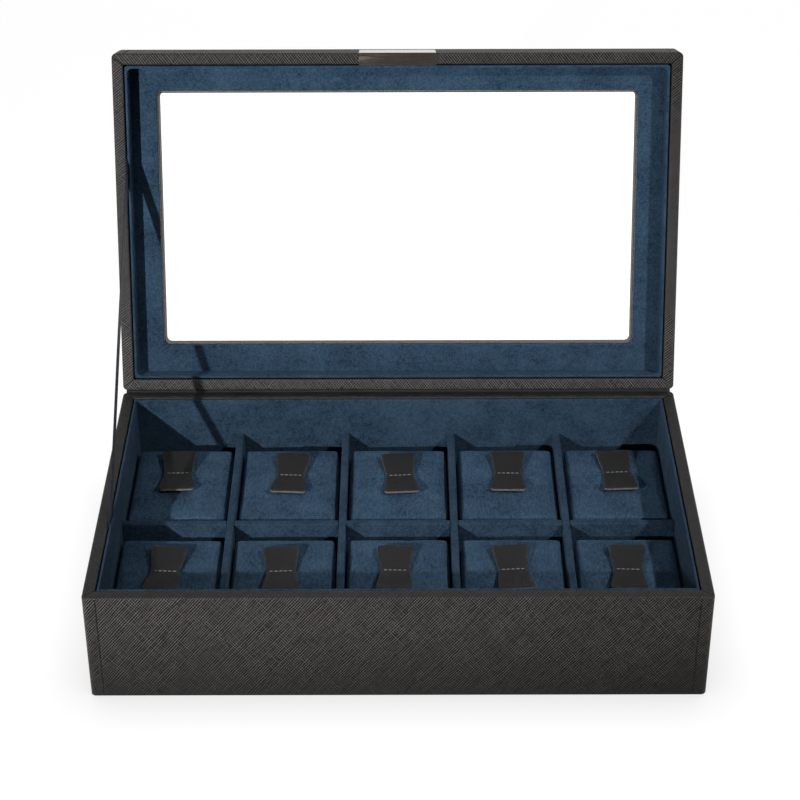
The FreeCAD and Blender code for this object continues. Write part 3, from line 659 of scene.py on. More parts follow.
shellShape = {"outerEdge": 1.1 * mm, "innerEdge": 0.8 * mm, "corner": 2.8 * mm, "turnIn": 12.8 * mm,
              "footEdge": 0.5 * mm, "lidEdge": 0.5 * mm,
              "creases": [0.0, 0.35 * mm, 0.9 * mm, 2.0 * mm, 4.5 * mm], "creaseDeep": 0.35 * mm,
              "swell": 0.10 * mm, "seamGap": 0.05 * mm, "seamInset": rimWide + 0.15 * mm,
              "baseCalm": 0.9, "lidCalm": 0.25, "footShade": 0.85, "footShadeHigh": 50 * mm,
              "grooveAt": 0.35 * mm, "grooveWide": 0.42 * mm, "grooveDeep": 0.4 * mm}


# The wall section of a cover: along the outside, over the rim, down the turned-in edge and back
def wallSection(foot, rim, upward):
    s, way = shellShape, 1 if upward else -1
    calm = s["baseCalm"] if upward else s["lidCalm"]
    outer, inner, skin = s["outerEdge"], s["innerEdge"], leatherThick
    top = [(x, rim + way * y, m) for x, y, m in
           bend((outer, -outer), outer, 180, 90, 5, (0.0, calm))
           + run((outer, 0), (rimWide - inner, 0), 4, calm)
           + bend((rimWide - inner, -inner), inner, 90, 0, 4, (calm, calm))]
    edge = s["footEdge"] if upward else s["lidEdge"]
    wall = [(x, foot + way * y, 0.0) for x, y, m in bend((edge, edge), edge, 270, 180, 5, (0.0, 0.0))]
    wall += run((0.0, foot + way * edge), (0.0, rim - way * outer), 9, 0.0)[:-1]
    # Painted shade: low on the outside wall the leather is drawn smoother and darker towards the foot
    if upward:
        wall = [(x, z, s["footShade"] * max(0.0, 1 - (z - foot) / s["footShadeHigh"])) for x, z, m in wall]
    low = rim - way * s["turnIn"]
    inside = [(rimWide, low, 1.0), (boardIn, low, 1.0), (boardIn, rim - way * skin, 1.0),
              (skin, rim - way * skin, 1.0), (skin, foot + way * edge, 0.0)]
    inside += [(edge, foot + way * skin, 0.0)] if edge > skin else []
    return wall + top + [(rimWide, rim - way * inner * 2, 1.0)] + inside


def shellRadius(inset):
    return max(shellShape["corner"] - inset, 0.0)


def shellRelief(way, rim):
    def relief(side, inset, z, u, mitre):
        push = Vector((0, 0, 0))
        if inset < 1e-6:
            out = Vector(((0, -1, 0), (1, 0, 0), (0, 1, 0), (-1, 0, 0))[side])
            push = out * shellShape["swell"] * (noise.noise(Vector((u * 28, z * 30, 4.2))) - 0.5)
            row = min(u, boxWide - u) - shellShape["seamInset"] - shellShape["grooveAt"]
            if side == 0 and u < boxWide:
                push -= out * shellShape["grooveDeep"] * math.exp(-(row / shellShape["grooveWide"]) ** 2)
        if abs(z - rim) < 0.3 * mm and inset > 0.5 * mm:
            sink = shellShape["creaseDeep"] * math.exp(-(mitre / (0.5 * mm)) ** 2)
            pucker = 0.16 * mm * math.sin(mitre * 2600 + side) * math.exp(-mitre / (2.5 * mm))
            push.z -= way * (sink + max(0.0, pucker))
        return push
    return relief


def makeShell(body, foot, rim, upward, place):
    s = shellShape
    section = wallSection(foot, rim, upward)
    relief = shellRelief(1 if upward else -1, rim)
    shares = [i / 5 for i in range(6)]
    seam = s["seamInset"] - s["seamGap"] / 2
    stations = [("toCorner", 0, t) for t in reversed(shares)] + arcStations(0, 7)
    for side in (1, 2, 3):
        stations += sideStations(side, s["creases"], 26 if side % 2 else 40) + arcStations(side, 7)
    stations += [("fromCorner", 4, t) for t in shares]
    wrap = sweepRing(stations, section, shellRadius, boxWide, boxDeep, False, relief, seam)
    makePiece(body + "WrapLeather", wrap, [looks["shell_leather"]], body,
              [body + "_wrap_leather"], sharp=50, place=place)
    first = s["seamInset"] + s["seamGap"] / 2
    fine = [first + d * mm for d in (0.0, 0.15, 0.3, 0.45, 0.6, 0.8, 1.1, 1.6, 3.0, 6.0)]
    places = fine[:-1] + [fine[-1] + (boxWide - 2 * fine[-1]) * i / 40 for i in range(41)]
    panel = [("place", 0, p) for p in places + [boxWide - p for p in reversed(fine[:-1])]]
    front = sweepRing(panel, section, shellRadius, boxWide, boxDeep, False, relief)
    makePiece(body + "FrontLeather", front, [looks["shell_leather"]], body,
              [body + "_front_leather"], sharp=50, place=place)


makeShell("base", trayLow.z, trayHigh.z, True, None)
makeShell("lid", lidHigh.z, lidLow.z, False, lidTurn)
print("leather covers made")


# Sheet on the lid's top: flat to the window, folded down its edge to the glass
sheetShape = {"edge": 0.45 * mm, "foldEdge": 0.7 * mm, "windowRound": 3.0 * mm}
windowBorder = 24.5 * mm


def sheetRadius(inset):
    if inset < windowBorder / 2:
        return max(shellShape["corner"] - inset, 0.2 * mm)
    return max(windowBorder + sheetShape["windowRound"] - inset, 0.2 * mm)


def makeTopSheet():
    top, bottom, fold, skin = topHigh.z, glassHigh.z, sheetShape["foldEdge"], leatherThick
    start, edge = topLow.x + boxWide / 2, sheetShape["edge"]
    section = bend((start + edge, top - edge), edge, 180, 90, 4, (0.0, 0.0))
    section += run((start + edge, top), (windowBorder - fold, top), 10, 0.0)[:-1]
    section += bend((windowBorder - fold, top - fold), fold, 90, 0, 5, (0.3, 1.0))
    section += [(windowBorder, bottom + 0.02 * mm, 1.0), (windowBorder - skin, bottom + 0.02 * mm, 1.0),
                (windowBorder - skin, top - skin, 0.3), (start, top - skin, 0.0)]
    shape = sweepRing(ringStations([0.0, 3 * mm], 30, 6), section, sheetRadius, boxWide, boxDeep, True)
    makePiece("lidTopLeather", shape, [looks["shell_leather"]], "lid", ["lid_top_leather"],
              sharp=50, place=lidTurn)


makeTopSheet()


# Suede ring inside the lid and the suede frame round the glass
suedeShape = {"reveal": 0.6 * mm, "forward": 0.9 * mm, "edge": 0.6 * mm, "ringRound": (1.5 * mm, 3.0 * mm),
              "frameRound": (0.5 * mm, 3.0 * mm)}


def makeSuedeRing(name, node, inset, low, high, corner, shift=0.0):
    edge = suedeShape["edge"]
    outer, inner = inset
    section = [(outer, high, 0), (outer, low + edge, 0)]
    section += [(x, z, 0) for x, z, m in bend((outer + edge, low + edge), edge, 180, 270, 3, (0, 0))]
    section += [(x, z, 0) for x, z, m in bend((inner - edge, low + edge), edge, 270, 360, 3, (0, 0))]
    section += [(inner, high, 0)]
    radiusAt = lambda d: corner[1] if d > (inner + outer) / 2 else corner[0]
    shape = sweepRing(ringStations([0.0], 24, 6), section, radiusAt, boxWide, boxDeep, True)
    for vertex in shape.verts:
        near = max(abs(vertex.co.x) - boxWide / 2, abs(vertex.co.y) - boxDeep / 2)
        vertex.co.y += shift if near < -(inner + outer) / 2 else 0.0
    makePiece(name, shape, [looks["suede"]], "lid", [node], sharp=50, place=lidTurn)


makeSuedeRing("lidSideLining", "lid_side_lining", (liningOut, liningIn), ringLow.z, ringHigh.z,
              suedeShape["ringRound"])
frameReach = (suedeLow.x + boxWide / 2, windowBorder - suedeShape["reveal"])
makeSuedeRing("suedeWindowFrame", "suede_window_frame", frameReach, suedeLow.z, suedeHigh.z,
              suedeShape["frameRound"], -suedeShape["forward"])


# Boards with softened edges: each is a copy of its CAD node
softEdges = {
    "lining_front": 0.45, "lining_back": 0.45, "lining_left": 0.45, "lining_right": 0.45, "tray_floor": 0.3,
    "long_divider": 0.7, "cross_divider_1": 0.7, "cross_divider_2": 0.7, "cross_divider_3": 0.7,
    "cross_divider_4": 0.7, "clasp_plate": 0.3, "base_magnet": 0.3, "glass_pane": 0.3,
}


def softened(node, width, segments=3, weld=1e-6):
    shape = bmesh.new()
    shape.from_mesh(nodes[node].data)
    bmesh.ops.remove_doubles(shape, verts=shape.verts, dist=weld)
    bmesh.ops.dissolve_limit(shape, angle_limit=math.radians(1.0), verts=shape.verts, edges=shape.edges)
    corners = [e for e in shape.edges if e.calc_face_angle(0.0) > math.radians(30)]
    bmesh.ops.bevel(shape, geom=corners, offset=width, segments=segments, profile=0.5, affect="EDGES",
                    clamp_overlap=True)
    bmesh.ops.recalc_face_normals(shape, faces=shape.faces)
    return shape


slotOf = {entry["node"]: entry["material_slot"] for entry in frame["record"]["subparts"]}
for node, width in softEdges.items():
    slot, body = slotOf[node], body_of(nodes[node])[0]
    makePiece(node + "_soft", softened(node, width * mm), [looks[slot]], body, [node],
              flatOver=3e-6, sharp=60)
print("boards softened:", len(softEdges))


# Cushions: one of each row starts a little slack and is filled until its cloth is tight
cushionLook = {"voxel": 1.3 * mm, "slack": 0.2 * mm, "reach": 0.5 * mm, "pressure": 3.0, "frames": 20,
               "dent": 0.5 * mm, "dentReach": 8 * mm, "wrinkle": 0.25 * mm, "fill": 0.85}
cushionNames = [row + "_cushion_%d" % n for row in ("rear", "front") for n in range(1, 6)]


def evaluated(piece):
    bpy.context.view_layer.update()
    return bpy.data.meshes.new_from_object(piece.evaluated_get(bpy.context.evaluated_depsgraph_get()))


def startCushion(node):
    piece = bpy.data.objects.new(node + "_start", nodes[node].data.copy())
    bpy.context.scene.collection.objects.link(piece)
    remesh = piece.modifiers.new("remesh", "REMESH")
    remesh.mode, remesh.voxel_size = "VOXEL", cushionLook["voxel"]
    done = evaluated(piece)
    piece.modifiers.clear()
    piece.data = done
    for vertex, normal in [(v, v.normal.copy()) for v in done.vertices]:
        vertex.co -= normal * cushionLook["slack"]
    return piece


def fillCushions(pieces):
    scene = bpy.context.scene
    starts = [[v.co.copy() for v in piece.data.vertices] for piece in pieces]
    for piece in pieces:
        cloth = piece.modifiers.new("cloth", "CLOTH")
        cloth.settings.quality = 5
        cloth.settings.use_pressure = True
        cloth.settings.uniform_pressure_force = cushionLook["pressure"]
        cloth.settings.effector_weights.gravity = 0.0
        cloth.settings.tension_stiffness = cloth.settings.compression_stiffness = 12.0
        cloth.point_cache.frame_start, cloth.point_cache.frame_end = 1, cushionLook["frames"]
        cloth.collision_settings.use_collision = False
    for step in range(1, cushionLook["frames"] + 1):
        scene.frame_set(step)
    for piece, start in zip(pieces, starts):
        mesh = evaluated(piece)
        piece.modifiers.clear()
        piece.data = mesh
        for vertex, before in zip(mesh.vertices, start):
            move = vertex.co - before
            if move.length > cushionLook["reach"]:
                move *= cushionLook["reach"] / move.length
            vertex.co = before + move
    scene.frame_set(1)


# The same padded shape, moved to another cell
def copyCushion(master, source, node):
    piece = master.copy()
    piece.data = master.data.copy()
    piece.name = piece.data.name = node + "_padded"
    bpy.context.scene.collection.objects.link(piece)
    piece.data.transform(Matrix.Translation(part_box(node)[0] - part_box(source)[0]))
    return piece


def finishCushion(piece, node, seed):
    smooth = piece.modifiers.new("smooth", "SUBSURF")
    smooth.levels = smooth.render_levels = 1
    mesh = evaluated(piece)
    piece.modifiers.clear()
    piece.data = mesh
    low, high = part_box(node)
    tabLow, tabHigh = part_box(node.replace("cushion", "tab"))
    middle = (tabLow + tabHigh) / 2
    for vertex in mesh.vertices:
        spot = vertex.co
        upper = max(0.0, (spot.z - high.z + 6 * mm) / (6 * mm))
        away = math.hypot(spot.x - middle.x, (spot.y - middle.y) * 1.6) / cushionLook["dentReach"]
        spot.z -= cushionLook["dent"] * math.exp(-away * away) * min(1.0, upper)
        ripple = noise.noise(Vector((spot.x * 60 + seed * 7.3, spot.y * 60, spot.z * 60)))
        spot.z += cushionLook["wrinkle"] * ripple * min(1.0, upper)
    limitTo(mesh, low, high)
    mesh.shade_smooth()
    mesh.materials.clear()
    mesh.materials.append(looks["cushion_suede"])
    markEdges(mesh)
    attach(piece, node)
    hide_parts(node)


# The cloth keeps inside the room that its piece has
def limitTo(mesh, low, high):
    for vertex in mesh.vertices:
        for i in range(3):
            vertex.co[i] = min(high[i], max(low[i], vertex.co[i]))


masters = {row: startCushion(row + "_cushion_3") for row in ("rear", "front")}
fillCushions(list(masters.values()))
for seed, node in enumerate(cushionNames):
    row = node.split("_")[0]
    finishCushion(copyCushion(masters[row], row + "_cushion_3", node), node, seed)
for master in masters.values():
    bpy.data.objects.remove(master)
print("cushions filled:", len(cushionNames))


# Stitches: a node tree lays one short arched thread on each point, along one way and out of the other
def makeStitchTree():
    tree = bpy.data.node_groups.new("stitches", "GeometryNodeTree")
    face = tree.interface
    face.new_socket(name="Geometry", in_out="OUTPUT", socket_type="NodeSocketGeometry")
    face.new_socket(name="Geometry", in_out="INPUT", socket_type="NodeSocketGeometry")
    for label in ("Length", "Radius", "Arch", "Uneven"):
        face.new_socket(name=label, in_out="INPUT", socket_type="NodeSocketFloat")
    face.new_socket(name="Material", in_out="INPUT", socket_type="NodeSocketMaterial")
    face.new_socket(name="Seed", in_out="INPUT", socket_type="NodeSocketInt")
    given, leave = tree.nodes.new("NodeGroupInput").outputs, tree.nodes.new("NodeGroupOutput")
    half = sums(tree, "MULTIPLY", given["Length"], 0.5)
    sink = sums(tree, "MULTIPLY", given["Radius"], -0.9)
    start = addNode(tree, "ShaderNodeCombineXYZ", {0: sums(tree, "MULTIPLY", half, -1.0), 2: sink})
    middle = addNode(tree, "ShaderNodeCombineXYZ", {2: given["Arch"]})
    end = addNode(tree, "ShaderNodeCombineXYZ", {0: half, 2: sink})
    bow = {"Resolution": 7, "Start": start.outputs[0], "Middle": middle.outputs[0], "End": end.outputs[0]}
    path = addNode(tree, "GeometryNodeCurveQuadraticBezier", bow)
    circle = {"Resolution": 7, "Radius": given["Radius"]}
    ring = addNode(tree, "GeometryNodeCurvePrimitiveCircle", circle)
    tube = {"Curve": path.outputs[0], "Profile Curve": ring.outputs[0], "Fill Caps": True}
    thread = addNode(tree, "GeometryNodeCurveToMesh", tube)
    soft = addNode(tree, "GeometryNodeSetShadeSmooth", {"Geometry": thread.outputs[0]})
    named = "GeometryNodeInputNamedAttribute"
    turns = [addNode(tree, named, {"Name": label}, data_type="FLOAT_VECTOR") for label in ("out", "along")]
    align = "FunctionNodeAlignRotationToVector"
    up = addNode(tree, align, {"Vector": turns[0].outputs[0]}, axis="Z")
    facing = {"Rotation": up.outputs[0], "Vector": turns[1].outputs[0]}
    way = addNode(tree, align, facing, axis="X", pivot_axis="Z")
    swing = addNode(tree, "FunctionNodeRandomValue", {2: sums(tree, "MULTIPLY", given["Uneven"], -0.5),
                                                      3: sums(tree, "MULTIPLY", given["Uneven"], 0.5),
                                                      "Seed": given["Seed"]})
    turn = {"Axis": (0, 0, 1), "Angle": swing.outputs[1]}
    twist = addNode(tree, "FunctionNodeAxisAngleToRotation", turn)
    both = {"Rotation": way.outputs[0], "Rotate By": twist.outputs[0]}
    turned = addNode(tree, "FunctionNodeRotateRotation", both, rotation_space="LOCAL")
    grow = addNode(tree, "FunctionNodeRandomValue", {2: sums(tree, "SUBTRACT", 1.0, given["Uneven"]), 3: 1.0,
                                                     "Seed": sums(tree, "ADD", given["Seed"], 5.0)})
    points = addNode(tree, "GeometryNodeMeshToPoints", {"Mesh": given["Geometry"]})
    laid = {"Points": points.outputs[0], "Instance": soft.outputs[0], "Rotation": turned.outputs[0],
            "Scale": grow.outputs[1]}
    placed = addNode(tree, "GeometryNodeInstanceOnPoints", laid)
    real = addNode(tree, "GeometryNodeRealizeInstances", {"Geometry": placed.outputs[0]})
    paint = {"Geometry": real.outputs[0], "Material": given["Material"]}
    painted = addNode(tree, "GeometryNodeSetMaterial", paint)
    tree.links.new(painted.outputs[0], leave.inputs[0])
    return tree


stitchTree = makeStitchTree()


def sewRow(name, spots, body, material, look, seed, replaced=(), place=None):
    mesh = bpy.data.meshes.new(name)
    mesh.from_pydata([s[0] for s in spots], [], [])
    for index, label in ((1, "along"), (2, "out")):
        layer = mesh.attributes.new(label, "FLOAT_VECTOR", "POINT")
        layer.data.foreach_set("vector", [c for s in spots for c in s[index]])
    if place is not None:
        turn = place.to_3x3()
        mesh.transform(place)
        for label in ("along", "out"):
            for item in mesh.attributes[label].data:
                item.vector = turn @ item.vector
    row = bpy.data.objects.new(name, mesh)
    bpy.context.scene.collection.objects.link(row)
    modifier = row.modifiers.new("stitches", "NODES")
    sockets = {i.name: i.identifier for i in stitchTree.interface.items_tree if i.in_out == "INPUT"}
    modifier.node_group = stitchTree
    for label, value in look.items():
        modifier[sockets[label]] = value
    modifier[sockets["Material"]] = material
    modifier[sockets["Seed"]] = seed
    sewn = evaluated(row)
    row.modifiers.clear()
    row.data = sewn
    markEdges(sewn)
    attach(row, body)
    if replaced:
        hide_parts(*replaced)
    return row


seamLook = {"Length": 2.1 * mm, "Radius": 0.36 * mm, "Arch": 0.5 * mm, "Uneven": 0.2}
hemLook = {"Length": 2.4 * mm, "Radius": 0.2 * mm, "Arch": 0.3 * mm, "Uneven": 0.2}
tabStitchLook = {"Length": 1.9 * mm, "Radius": 0.3 * mm, "Arch": 0.5 * mm, "Uneven": 0.16}
seamRow = {"count": 21, "inset": 0.25 * mm, "end": 1.1 * mm, "sunk": 0.06 * mm, "seed": 3}
hemRow = {"count": 78, "end": 0.9 * mm, "sunk": 0.05 * mm, "slant": 50.0, "seed": 8}


def sewSeams():
    look = seamRow
    low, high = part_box("base_front_stitches")
    spots = []
    for x in (low.x + look["inset"], high.x - look["inset"]):
        for i in range(look["count"]):
            z = low.z + look["end"] + (high.z - low.z - 2 * look["end"]) * i / (look["count"] - 1)
            spots.append((Vector((x, trayLow.y + look["sunk"], z)), (0, 0, 1), (0, -1, 0)))
    sewRow("frontSeamStitches", spots, "base", looks["thread"], seamLook, look["seed"],
           ["base_front_stitches"])


def sewHem():
    look = hemRow
    low, high = shutBox("lid_hem_stitches")
    turn = math.radians(look["slant"])
    way = (math.cos(turn), math.sin(turn), 0)
    spots = []
    for i in range(look["count"]):
        x = low.x + look["end"] + (high.x - low.x - 2 * look["end"]) * i / (look["count"] - 1)
        spots.append((Vector((x, (low.y + high.y) / 2, lidLow.z + look["sunk"])), way, (0, 0, -1)))
    sewRow("lidHemStitches", spots, "lid", looks["thread"], hemLook, look["seed"],
           ["lid_hem_stitches"], lidTurn)


sewSeams()
sewHem()
print("seams sewn")


# Tabs: a bow-tie strip, bent up from the waist to both ends, with raw cut sides and a sewn waist
tabLook = {"thick": 1.5 * mm, "waist": 0.76, "cornerRound": 1.6 * mm, "across": 12, "lengthwise": 34,
           "curl": 0.35 * mm, "bevel": 0.22 * mm, "stitches": 5, "stitchSpan": 0.84, "stitchRise": 0.02 * mm}


# A tab's middle, its length, its width and the way it points, read off its CAD node
def tabFrame(node):
    points = [v.co for v in nodes[node].data.vertices]
    low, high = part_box(node)
    reach = (high.y - low.y) * 0.4
    middle = (low + high) / 2
    ends = []
    for way in (1, -1):
        near = [p for p in points if (p.y - middle.y) * way > reach]
        ends.append(sum(near, Vector()) / len(near))
    along = (ends[0] - ends[1]).to_2d().normalized()
    across = Vector((along.y, -along.x))
    lengths = [(p - middle).to_2d().dot(along) for p in points]
    widths = [(p - middle).to_2d().dot(across) for p in points]
    centre = middle.to_2d() + along * (max(lengths) + min(lengths)) / 2
    centre += across * (max(widths) + min(widths)) / 2
    return centre, along, across, max(lengths) - min(lengths), max(widths) - min(widths), low.z, high.z


def makeTab(node, seed):
    look = tabLook
    centre, along, across, length, width, low, high = tabFrame(node)
    rise = high - low - look["thick"]
    rows, columns = look["lengthwise"], look["across"]
    shape = bmesh.new()
    grid = []
    for i in range(rows + 1):
        t = -1 + 2 * i / rows
        t = math.copysign(abs(t) ** 0.85, t)
        share = look["waist"] + (1 - look["waist"]) * math.sqrt(t * t + 0.003)
        away, corner = length / 2 * (1 - abs(t)), look["cornerRound"]
        trim = corner - math.sqrt(max(0.0, corner ** 2 - max(0.0, corner - away) ** 2))
        half = width / 2 * min(share, 1.0) - trim
        height = low + rise * (math.sqrt(t * t + 0.0008) - 0.028)
        row = []
        for j in range(columns + 1):
            s = -1 + 2 * j / columns
            spot = centre + along * (t * length / 2) + across * (s * half)
            wave = look["curl"] * t * t * math.sin(seed * 2.1 + s * 1.3)
            row.append(shape.verts.new((spot.x, spot.y, min(height + max(0.0, wave), low + rise))))
        grid.append(row)
    for i in range(rows):
        for j in range(columns):
            shape.faces.new((grid[i][j], grid[i][j + 1], grid[i + 1][j + 1], grid[i + 1][j]))
    under = list(shape.faces)
    upper = bmesh.ops.duplicate(shape, geom=shape.verts[:] + shape.edges[:] + under)
    twin = upper["vert_map"]
    for row in grid:
        for vertex in row:
            twin[vertex].co.z += look["thick"]
    border = grid[0][:] + [r[-1] for r in grid[1:]] + grid[-1][-2::-1] + [r[0] for r in grid[-2:0:-1]]
    sides = []
    for a, b in zip(border, border[1:] + border[:1]):
        sides.append(shape.faces.new((a, b, twin[b], twin[a])))
    bmesh.ops.recalc_face_normals(shape, faces=shape.faces)
    for face in sides:
        face.material_index = 1
    rim = [e for e in shape.edges if len({f.material_index for f in e.link_faces}) == 2]
    bmesh.ops.bevel(shape, geom=rim, offset=look["bevel"], segments=2, profile=0.5, affect="EDGES",
                    clamp_overlap=True)
    body = body_of(nodes[node])[0]
    makePiece(node + "_sewn", shape, [looks["tab_leather"], rawEdge], body, [node], sharp=50)
    spots, top = [], low + look["thick"] + look["stitchRise"]
    for i in range(look["stitches"]):
        s = look["stitchSpan"] * (-1 + 2 * (i + 0.5) / look["stitches"]) * look["waist"] * width / 2
        flat = centre + across * s
        spots.append((Vector((flat.x, flat.y, top)), (across.x, across.y, 0), (0, 0, 1)))
    sewRow(node + "_stitches", spots, body, paleThread, tabStitchLook, seed)


for seed, node in enumerate(cushionNames):
    makeTab(node.replace("cushion", "tab"), seed)
print("tabs sewn:", len(cushionNames))


# Bands that cross the hinge: the ribbon stay and the leather strip on the back rim
def bandMesh(centre, ways, width, thick, across):
    shape = bmesh.new()
    uvLayer = shape.loops.layers.uv.new("UVMap")
    rings, places, travelled = [], [], 0.0
    for i, (spot, (side, out)) in enumerate(zip(centre, ways)):
        travelled += (spot - centre[i - 1]).length if i else 0.0
        edge = [(-1 + 2 * k / across, 1) for k in range(across + 1)]
        edge += [(1 - 2 * k / across, -1) for k in range(across + 1)]
        ring = [spot + side * (s * width / 2) + out * (o * thick / 2) for s, o in edge]
        rings.append([shape.verts.new(point) for point in ring])
        places.append([(s * width / 2, travelled) for s, o in edge])
    count = len(rings[0])
    for i in range(len(rings) - 1):
        for k in range(count):
            n = (k + 1) % count
            face = shape.faces.new((rings[i][k], rings[i][n], rings[i + 1][n], rings[i + 1][k]))
            corners = (places[i][k], places[i][n], places[i + 1][n], places[i + 1][k])
            for loop, spot in zip(face.loops, corners):
                loop[uvLayer].uv = spot
    for ring in (rings[0], rings[-1]):
        shape.faces.new(ring)
    bmesh.ops.recalc_face_normals(shape, faces=shape.faces)
    return shape


ribbonLook = {"pieces": 90, "across": 6, "sway": 0.12 * mm}
stripLook = {"thick": 0.34 * mm, "onRim": 5.6 * mm, "onLid": 7.5 * mm, "fromEdge": 1.2 * mm, "pieces": 26,
             "across": 40, "clear": 0.05 * mm, "pull": 0.4}


def makeRibbonStay():
    points = [v.co for v in nodes["ribbon_stay"].data.vertices]
    low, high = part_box("ribbon_stay")
    far = max(points, key=lambda p: p.y + p.z)
    near = min(points, key=lambda p: p.y + p.z)
    foot = [p for p in points if (p - near).length < 12 * mm]
    head = [p for p in points if (p - far).length < 12 * mm]
    start, stop = sum(foot, Vector()) / len(foot), sum(head, Vector()) / len(head)
    start.x = stop.x = (low.x + high.x) / 2
    along = (stop - start).normalized()
    side, out = Vector((0, along.z, -along.y)), Vector((1, 0, 0))
    width = max((p - near).dot(side) for p in foot) - min((p - near).dot(side) for p in foot)
    centre = []
    for i in range(ribbonLook["pieces"] + 1):
        t = i / ribbonLook["pieces"]
        sway = ribbonLook["sway"] * math.sin(t * 9.0) * math.sin(t * math.pi)
        centre.append(start.lerp(stop, t) + out * sway)
    ways = [(side, out)] * len(centre)
    shape = bandMesh(centre, ways, width, high.x - low.x, ribbonLook["across"])
    piece = makePiece("ribbonStay", shape, [looks["ribbon"]], None, ["ribbon_stay"])
    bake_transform(piece, "base", "lid", start.lerp(stop, 0.06), start.lerp(stop, 0.94))


def makeHingeStrip():
    look = stripLook
    low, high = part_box("hinge_strip")
    thick = look["thick"]
    top = trayHigh.z + look["clear"] + thick / 2
    up = lidTurn.to_3x3() @ Vector((0, 0, 1))
    onLid = lidTurn @ Vector((0, boxDeep / 2 + look["clear"] + thick / 2, lidLow.z + look["fromEdge"]))
    rimStart = Vector((0, boxDeep / 2 - look["onRim"], top))
    rimEnd = Vector((0, boxDeep / 2 - look["fromEdge"], top))
    farEnd = onLid + up * look["onLid"]
    path = [rimStart.lerp(rimEnd, i / 8) for i in range(9)]
    for i in range(1, look["pieces"]):
        t = i / look["pieces"]
        a, b = rimEnd, onLid
        pull = (b - a).length * look["pull"]
        c1, c2 = a + Vector((0, 1, 0)) * pull, b - up * pull
        path.append(a * (1 - t) ** 3 + c1 * 3 * t * (1 - t) ** 2 + c2 * 3 * t * t * (1 - t) + b * t ** 3)
    path += [onLid.lerp(farEnd, i / 8) for i in range(9)]
    ways = []
    for i in range(len(path)):
        step = (path[min(i + 1, len(path) - 1)] - path[max(i - 1, 0)]).normalized()
        ways.append((Vector((1, 0, 0)), Vector((0, -step.z, step.y))))
    shape = bandMesh(path, ways, high.x - low.x, thick, look["across"])
    piece = makePiece("hingeStrip", shape, [looks["strip_leather"]], None, ["hinge_strip"])
    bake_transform(piece, "base", "lid", rimEnd, onLid)


makeRibbonStay()
makeHingeStrip()
print("ribbon and hinge strip made")


# Studio: a pale floor, a white surround for the camera, two feathered lamps and a soft one overhead
studio = {"centre": (0.0, 0.0, 0.1), "distance": 1.5,
          "left": {"way": (1.0, 1.54, -0.71), "aim": (-0.17, 0.05, 0.15), "power": 72.0,
                   "radius": 0.016, "cone": 32.4},
          "right": {"way": (-1.0, 0.86, -1.18), "aim": (0.17, 0.0, 0.08), "power": 44.0,
                    "radius": 0.04, "cone": 27.4},
          "overheadPower": 0.16, "overheadAngle": 40.0, "surround": 0.034, "mirrorFront": 0.1,
          "mirrorBack": 0.7, "mirrorReach": 0.4, "contactReach": 0.035, "floorSide": 6.0,
          "floorWhite": 0.8, "floorGlow": 0.9, "floorSeen": 1.09, "throughGlass": 1.2, "paintedContactShade": 0.8,
          "below": 0.8, "closeReach": 0.001, "floorDrop": 0.0001}


def addLamp(name, look):
    data = bpy.data.lights.new(name, "SPOT")
    data.energy, data.shadow_soft_size = look["power"], look["radius"]
    data.spot_size, data.spot_blend = math.radians(look["cone"]), 1.0
    lamp = bpy.data.objects.new(name, data)
    bpy.context.scene.collection.objects.link(lamp)
    spot = Vector(studio["centre"]) - Vector(look["way"]).normalized() * studio["distance"]
    turn = (Vector(look["aim"]) - spot).to_track_quat("-Z", "Y").to_matrix().to_4x4()
    lamp.matrix_world = Matrix.Translation(spot) @ turn


def addOverhead():
    data = bpy.data.lights.new("overheadLamp", "SUN")
    data.energy, data.angle = studio["overheadPower"], math.radians(studio["overheadAngle"])
    lamp = bpy.data.objects.new("overheadLamp", data)
    bpy.context.scene.collection.objects.link(lamp)


# White for the camera, also through glass. Reflections see it bright behind the box and dim in front
def seenShare(tree, place):
    path = tree.nodes.new("ShaderNodeLightPath").outputs
    back = addNode(tree, "ShaderNodeSeparateXYZ", {0: place}).outputs[1]
    far = studio["mirrorReach"]
    mirror = spread(tree, back, -far, far, studio["mirrorFront"], studio["mirrorBack"])
    through = sums(tree, "MULTIPLY", path["Is Transmission Ray"], studio["throughGlass"])
    seen = sums(tree, "MAXIMUM", path["Is Camera Ray"], through)
    return path, sums(tree, "MAXIMUM", seen, sums(tree, "MULTIPLY", path["Is Glossy Ray"], mirror))


def makeWorld():
    world = bpy.data.worlds.new("studioWorld")
    world.use_nodes = True
    tree = world.node_tree
    back = tree.nodes["Background"]
    way = tree.nodes.new("ShaderNodeTexCoord").outputs["Generated"]
    seen = seenShare(tree, way)[1]
    high = addNode(tree, "ShaderNodeSeparateXYZ", {0: way}).outputs[2]
    around = spread(tree, high, -0.3, -0.1, studio["below"], studio["surround"])
    tree.links.new(sums(tree, "MAXIMUM", seen, around), back.inputs["Strength"])
    back.inputs["Color"].default_value = (1, 1, 1, 1)
    bpy.context.scene.world = world
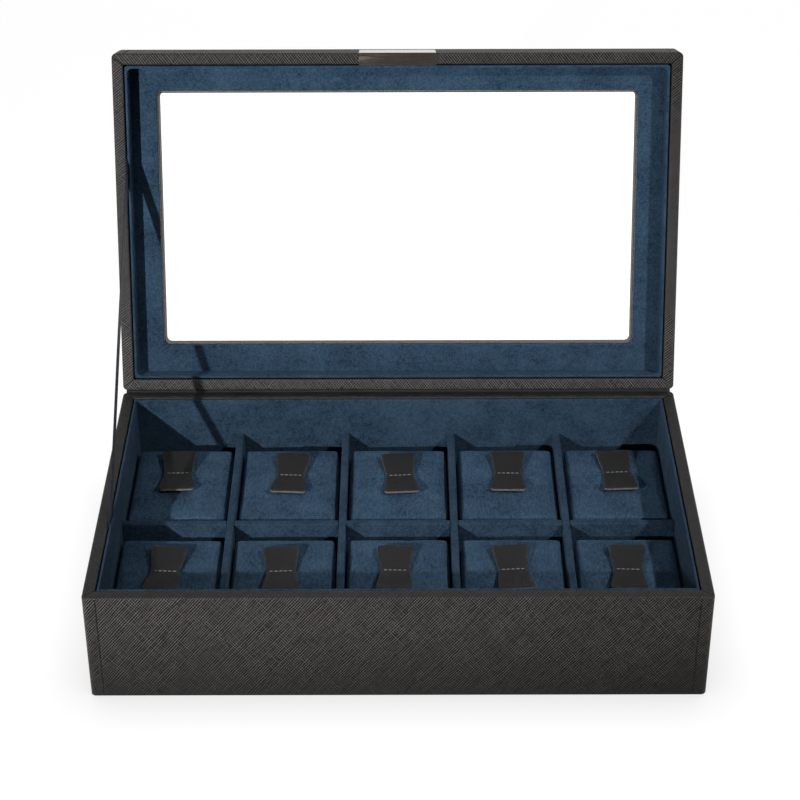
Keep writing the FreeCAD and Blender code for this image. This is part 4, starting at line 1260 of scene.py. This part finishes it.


# The floor is white to the camera, with a painted contact shadow that darkens it close to the box; from below
# it is clear
def makeFloor():
    material = bpy.data.materials.new("studioFloor")
    material.use_nodes = True
    tree = material.node_tree
    tree.nodes.remove(tree.nodes["Principled BSDF"])
    white = addNode(tree, "ShaderNodeBsdfDiffuse", {"Color": grey(studio["floorWhite"])})
    place = tree.nodes.new("ShaderNodeNewGeometry").outputs["Position"]
    path, seen = seenShare(tree, place)
    # Painted contact shadow: the floor's glow is dimmed where the box is near
    paintedContactShade = addNode(tree, "ShaderNodeAmbientOcclusion", {"Distance": studio["contactReach"]}, samples=16)
    shade = spread(tree, paintedContactShade.outputs["AO"], 0.5, 1.0, studio["paintedContactShade"], 1.0)
    strength = sums(tree, "MULTIPLY", sums(tree, "MULTIPLY", seen, shade), studio["floorSeen"])
    glow = addNode(tree, "ShaderNodeEmission", {"Color": (1, 1, 1, 1), "Strength": strength})
    direct = sums(tree, "MAXIMUM", path["Is Camera Ray"], path["Is Transmission Ray"])
    shown = sums(tree, "MULTIPLY", direct, studio["floorGlow"])
    share = sums(tree, "MAXIMUM", shown, path["Is Glossy Ray"])
    mix = addNode(tree, "ShaderNodeMixShader", {0: share, 1: white.outputs[0], 2: glow.outputs[0]})
    clear = tree.nodes.new("ShaderNodeBsdfTransparent")
    under = tree.nodes.new("ShaderNodeNewGeometry").outputs["Backfacing"]
    close = sums(tree, "LESS_THAN", path["Ray Length"], studio["closeReach"])
    hidden = sums(tree, "MAXIMUM", under, close)
    gone = addNode(tree, "ShaderNodeMixShader", {0: hidden, 1: mix.outputs[0], 2: clear.outputs[0]})
    tree.links.new(gone.outputs[0], tree.nodes["Material Output"].inputs["Surface"])
    mesh = bpy.data.meshes.new("studioFloor")
    side, low = studio["floorSide"], -studio["floorDrop"]
    corners = [(-side, -side, low), (side, -side, low), (side, side, low), (-side, side, low)]
    mesh.from_pydata(corners, [], [(0, 1, 2, 3)])
    mesh.materials.append(material)
    floor = bpy.data.objects.new("studioFloor", mesh)
    bpy.context.scene.collection.objects.link(floor)


makeWorld()
makeFloor()
addLamp("leftLamp", studio["left"])
addLamp("rightLamp", studio["right"])
addOverhead()
bpy.context.scene.view_settings.view_transform = "Standard"
bpy.context.view_layer.update()
print("studio lit")
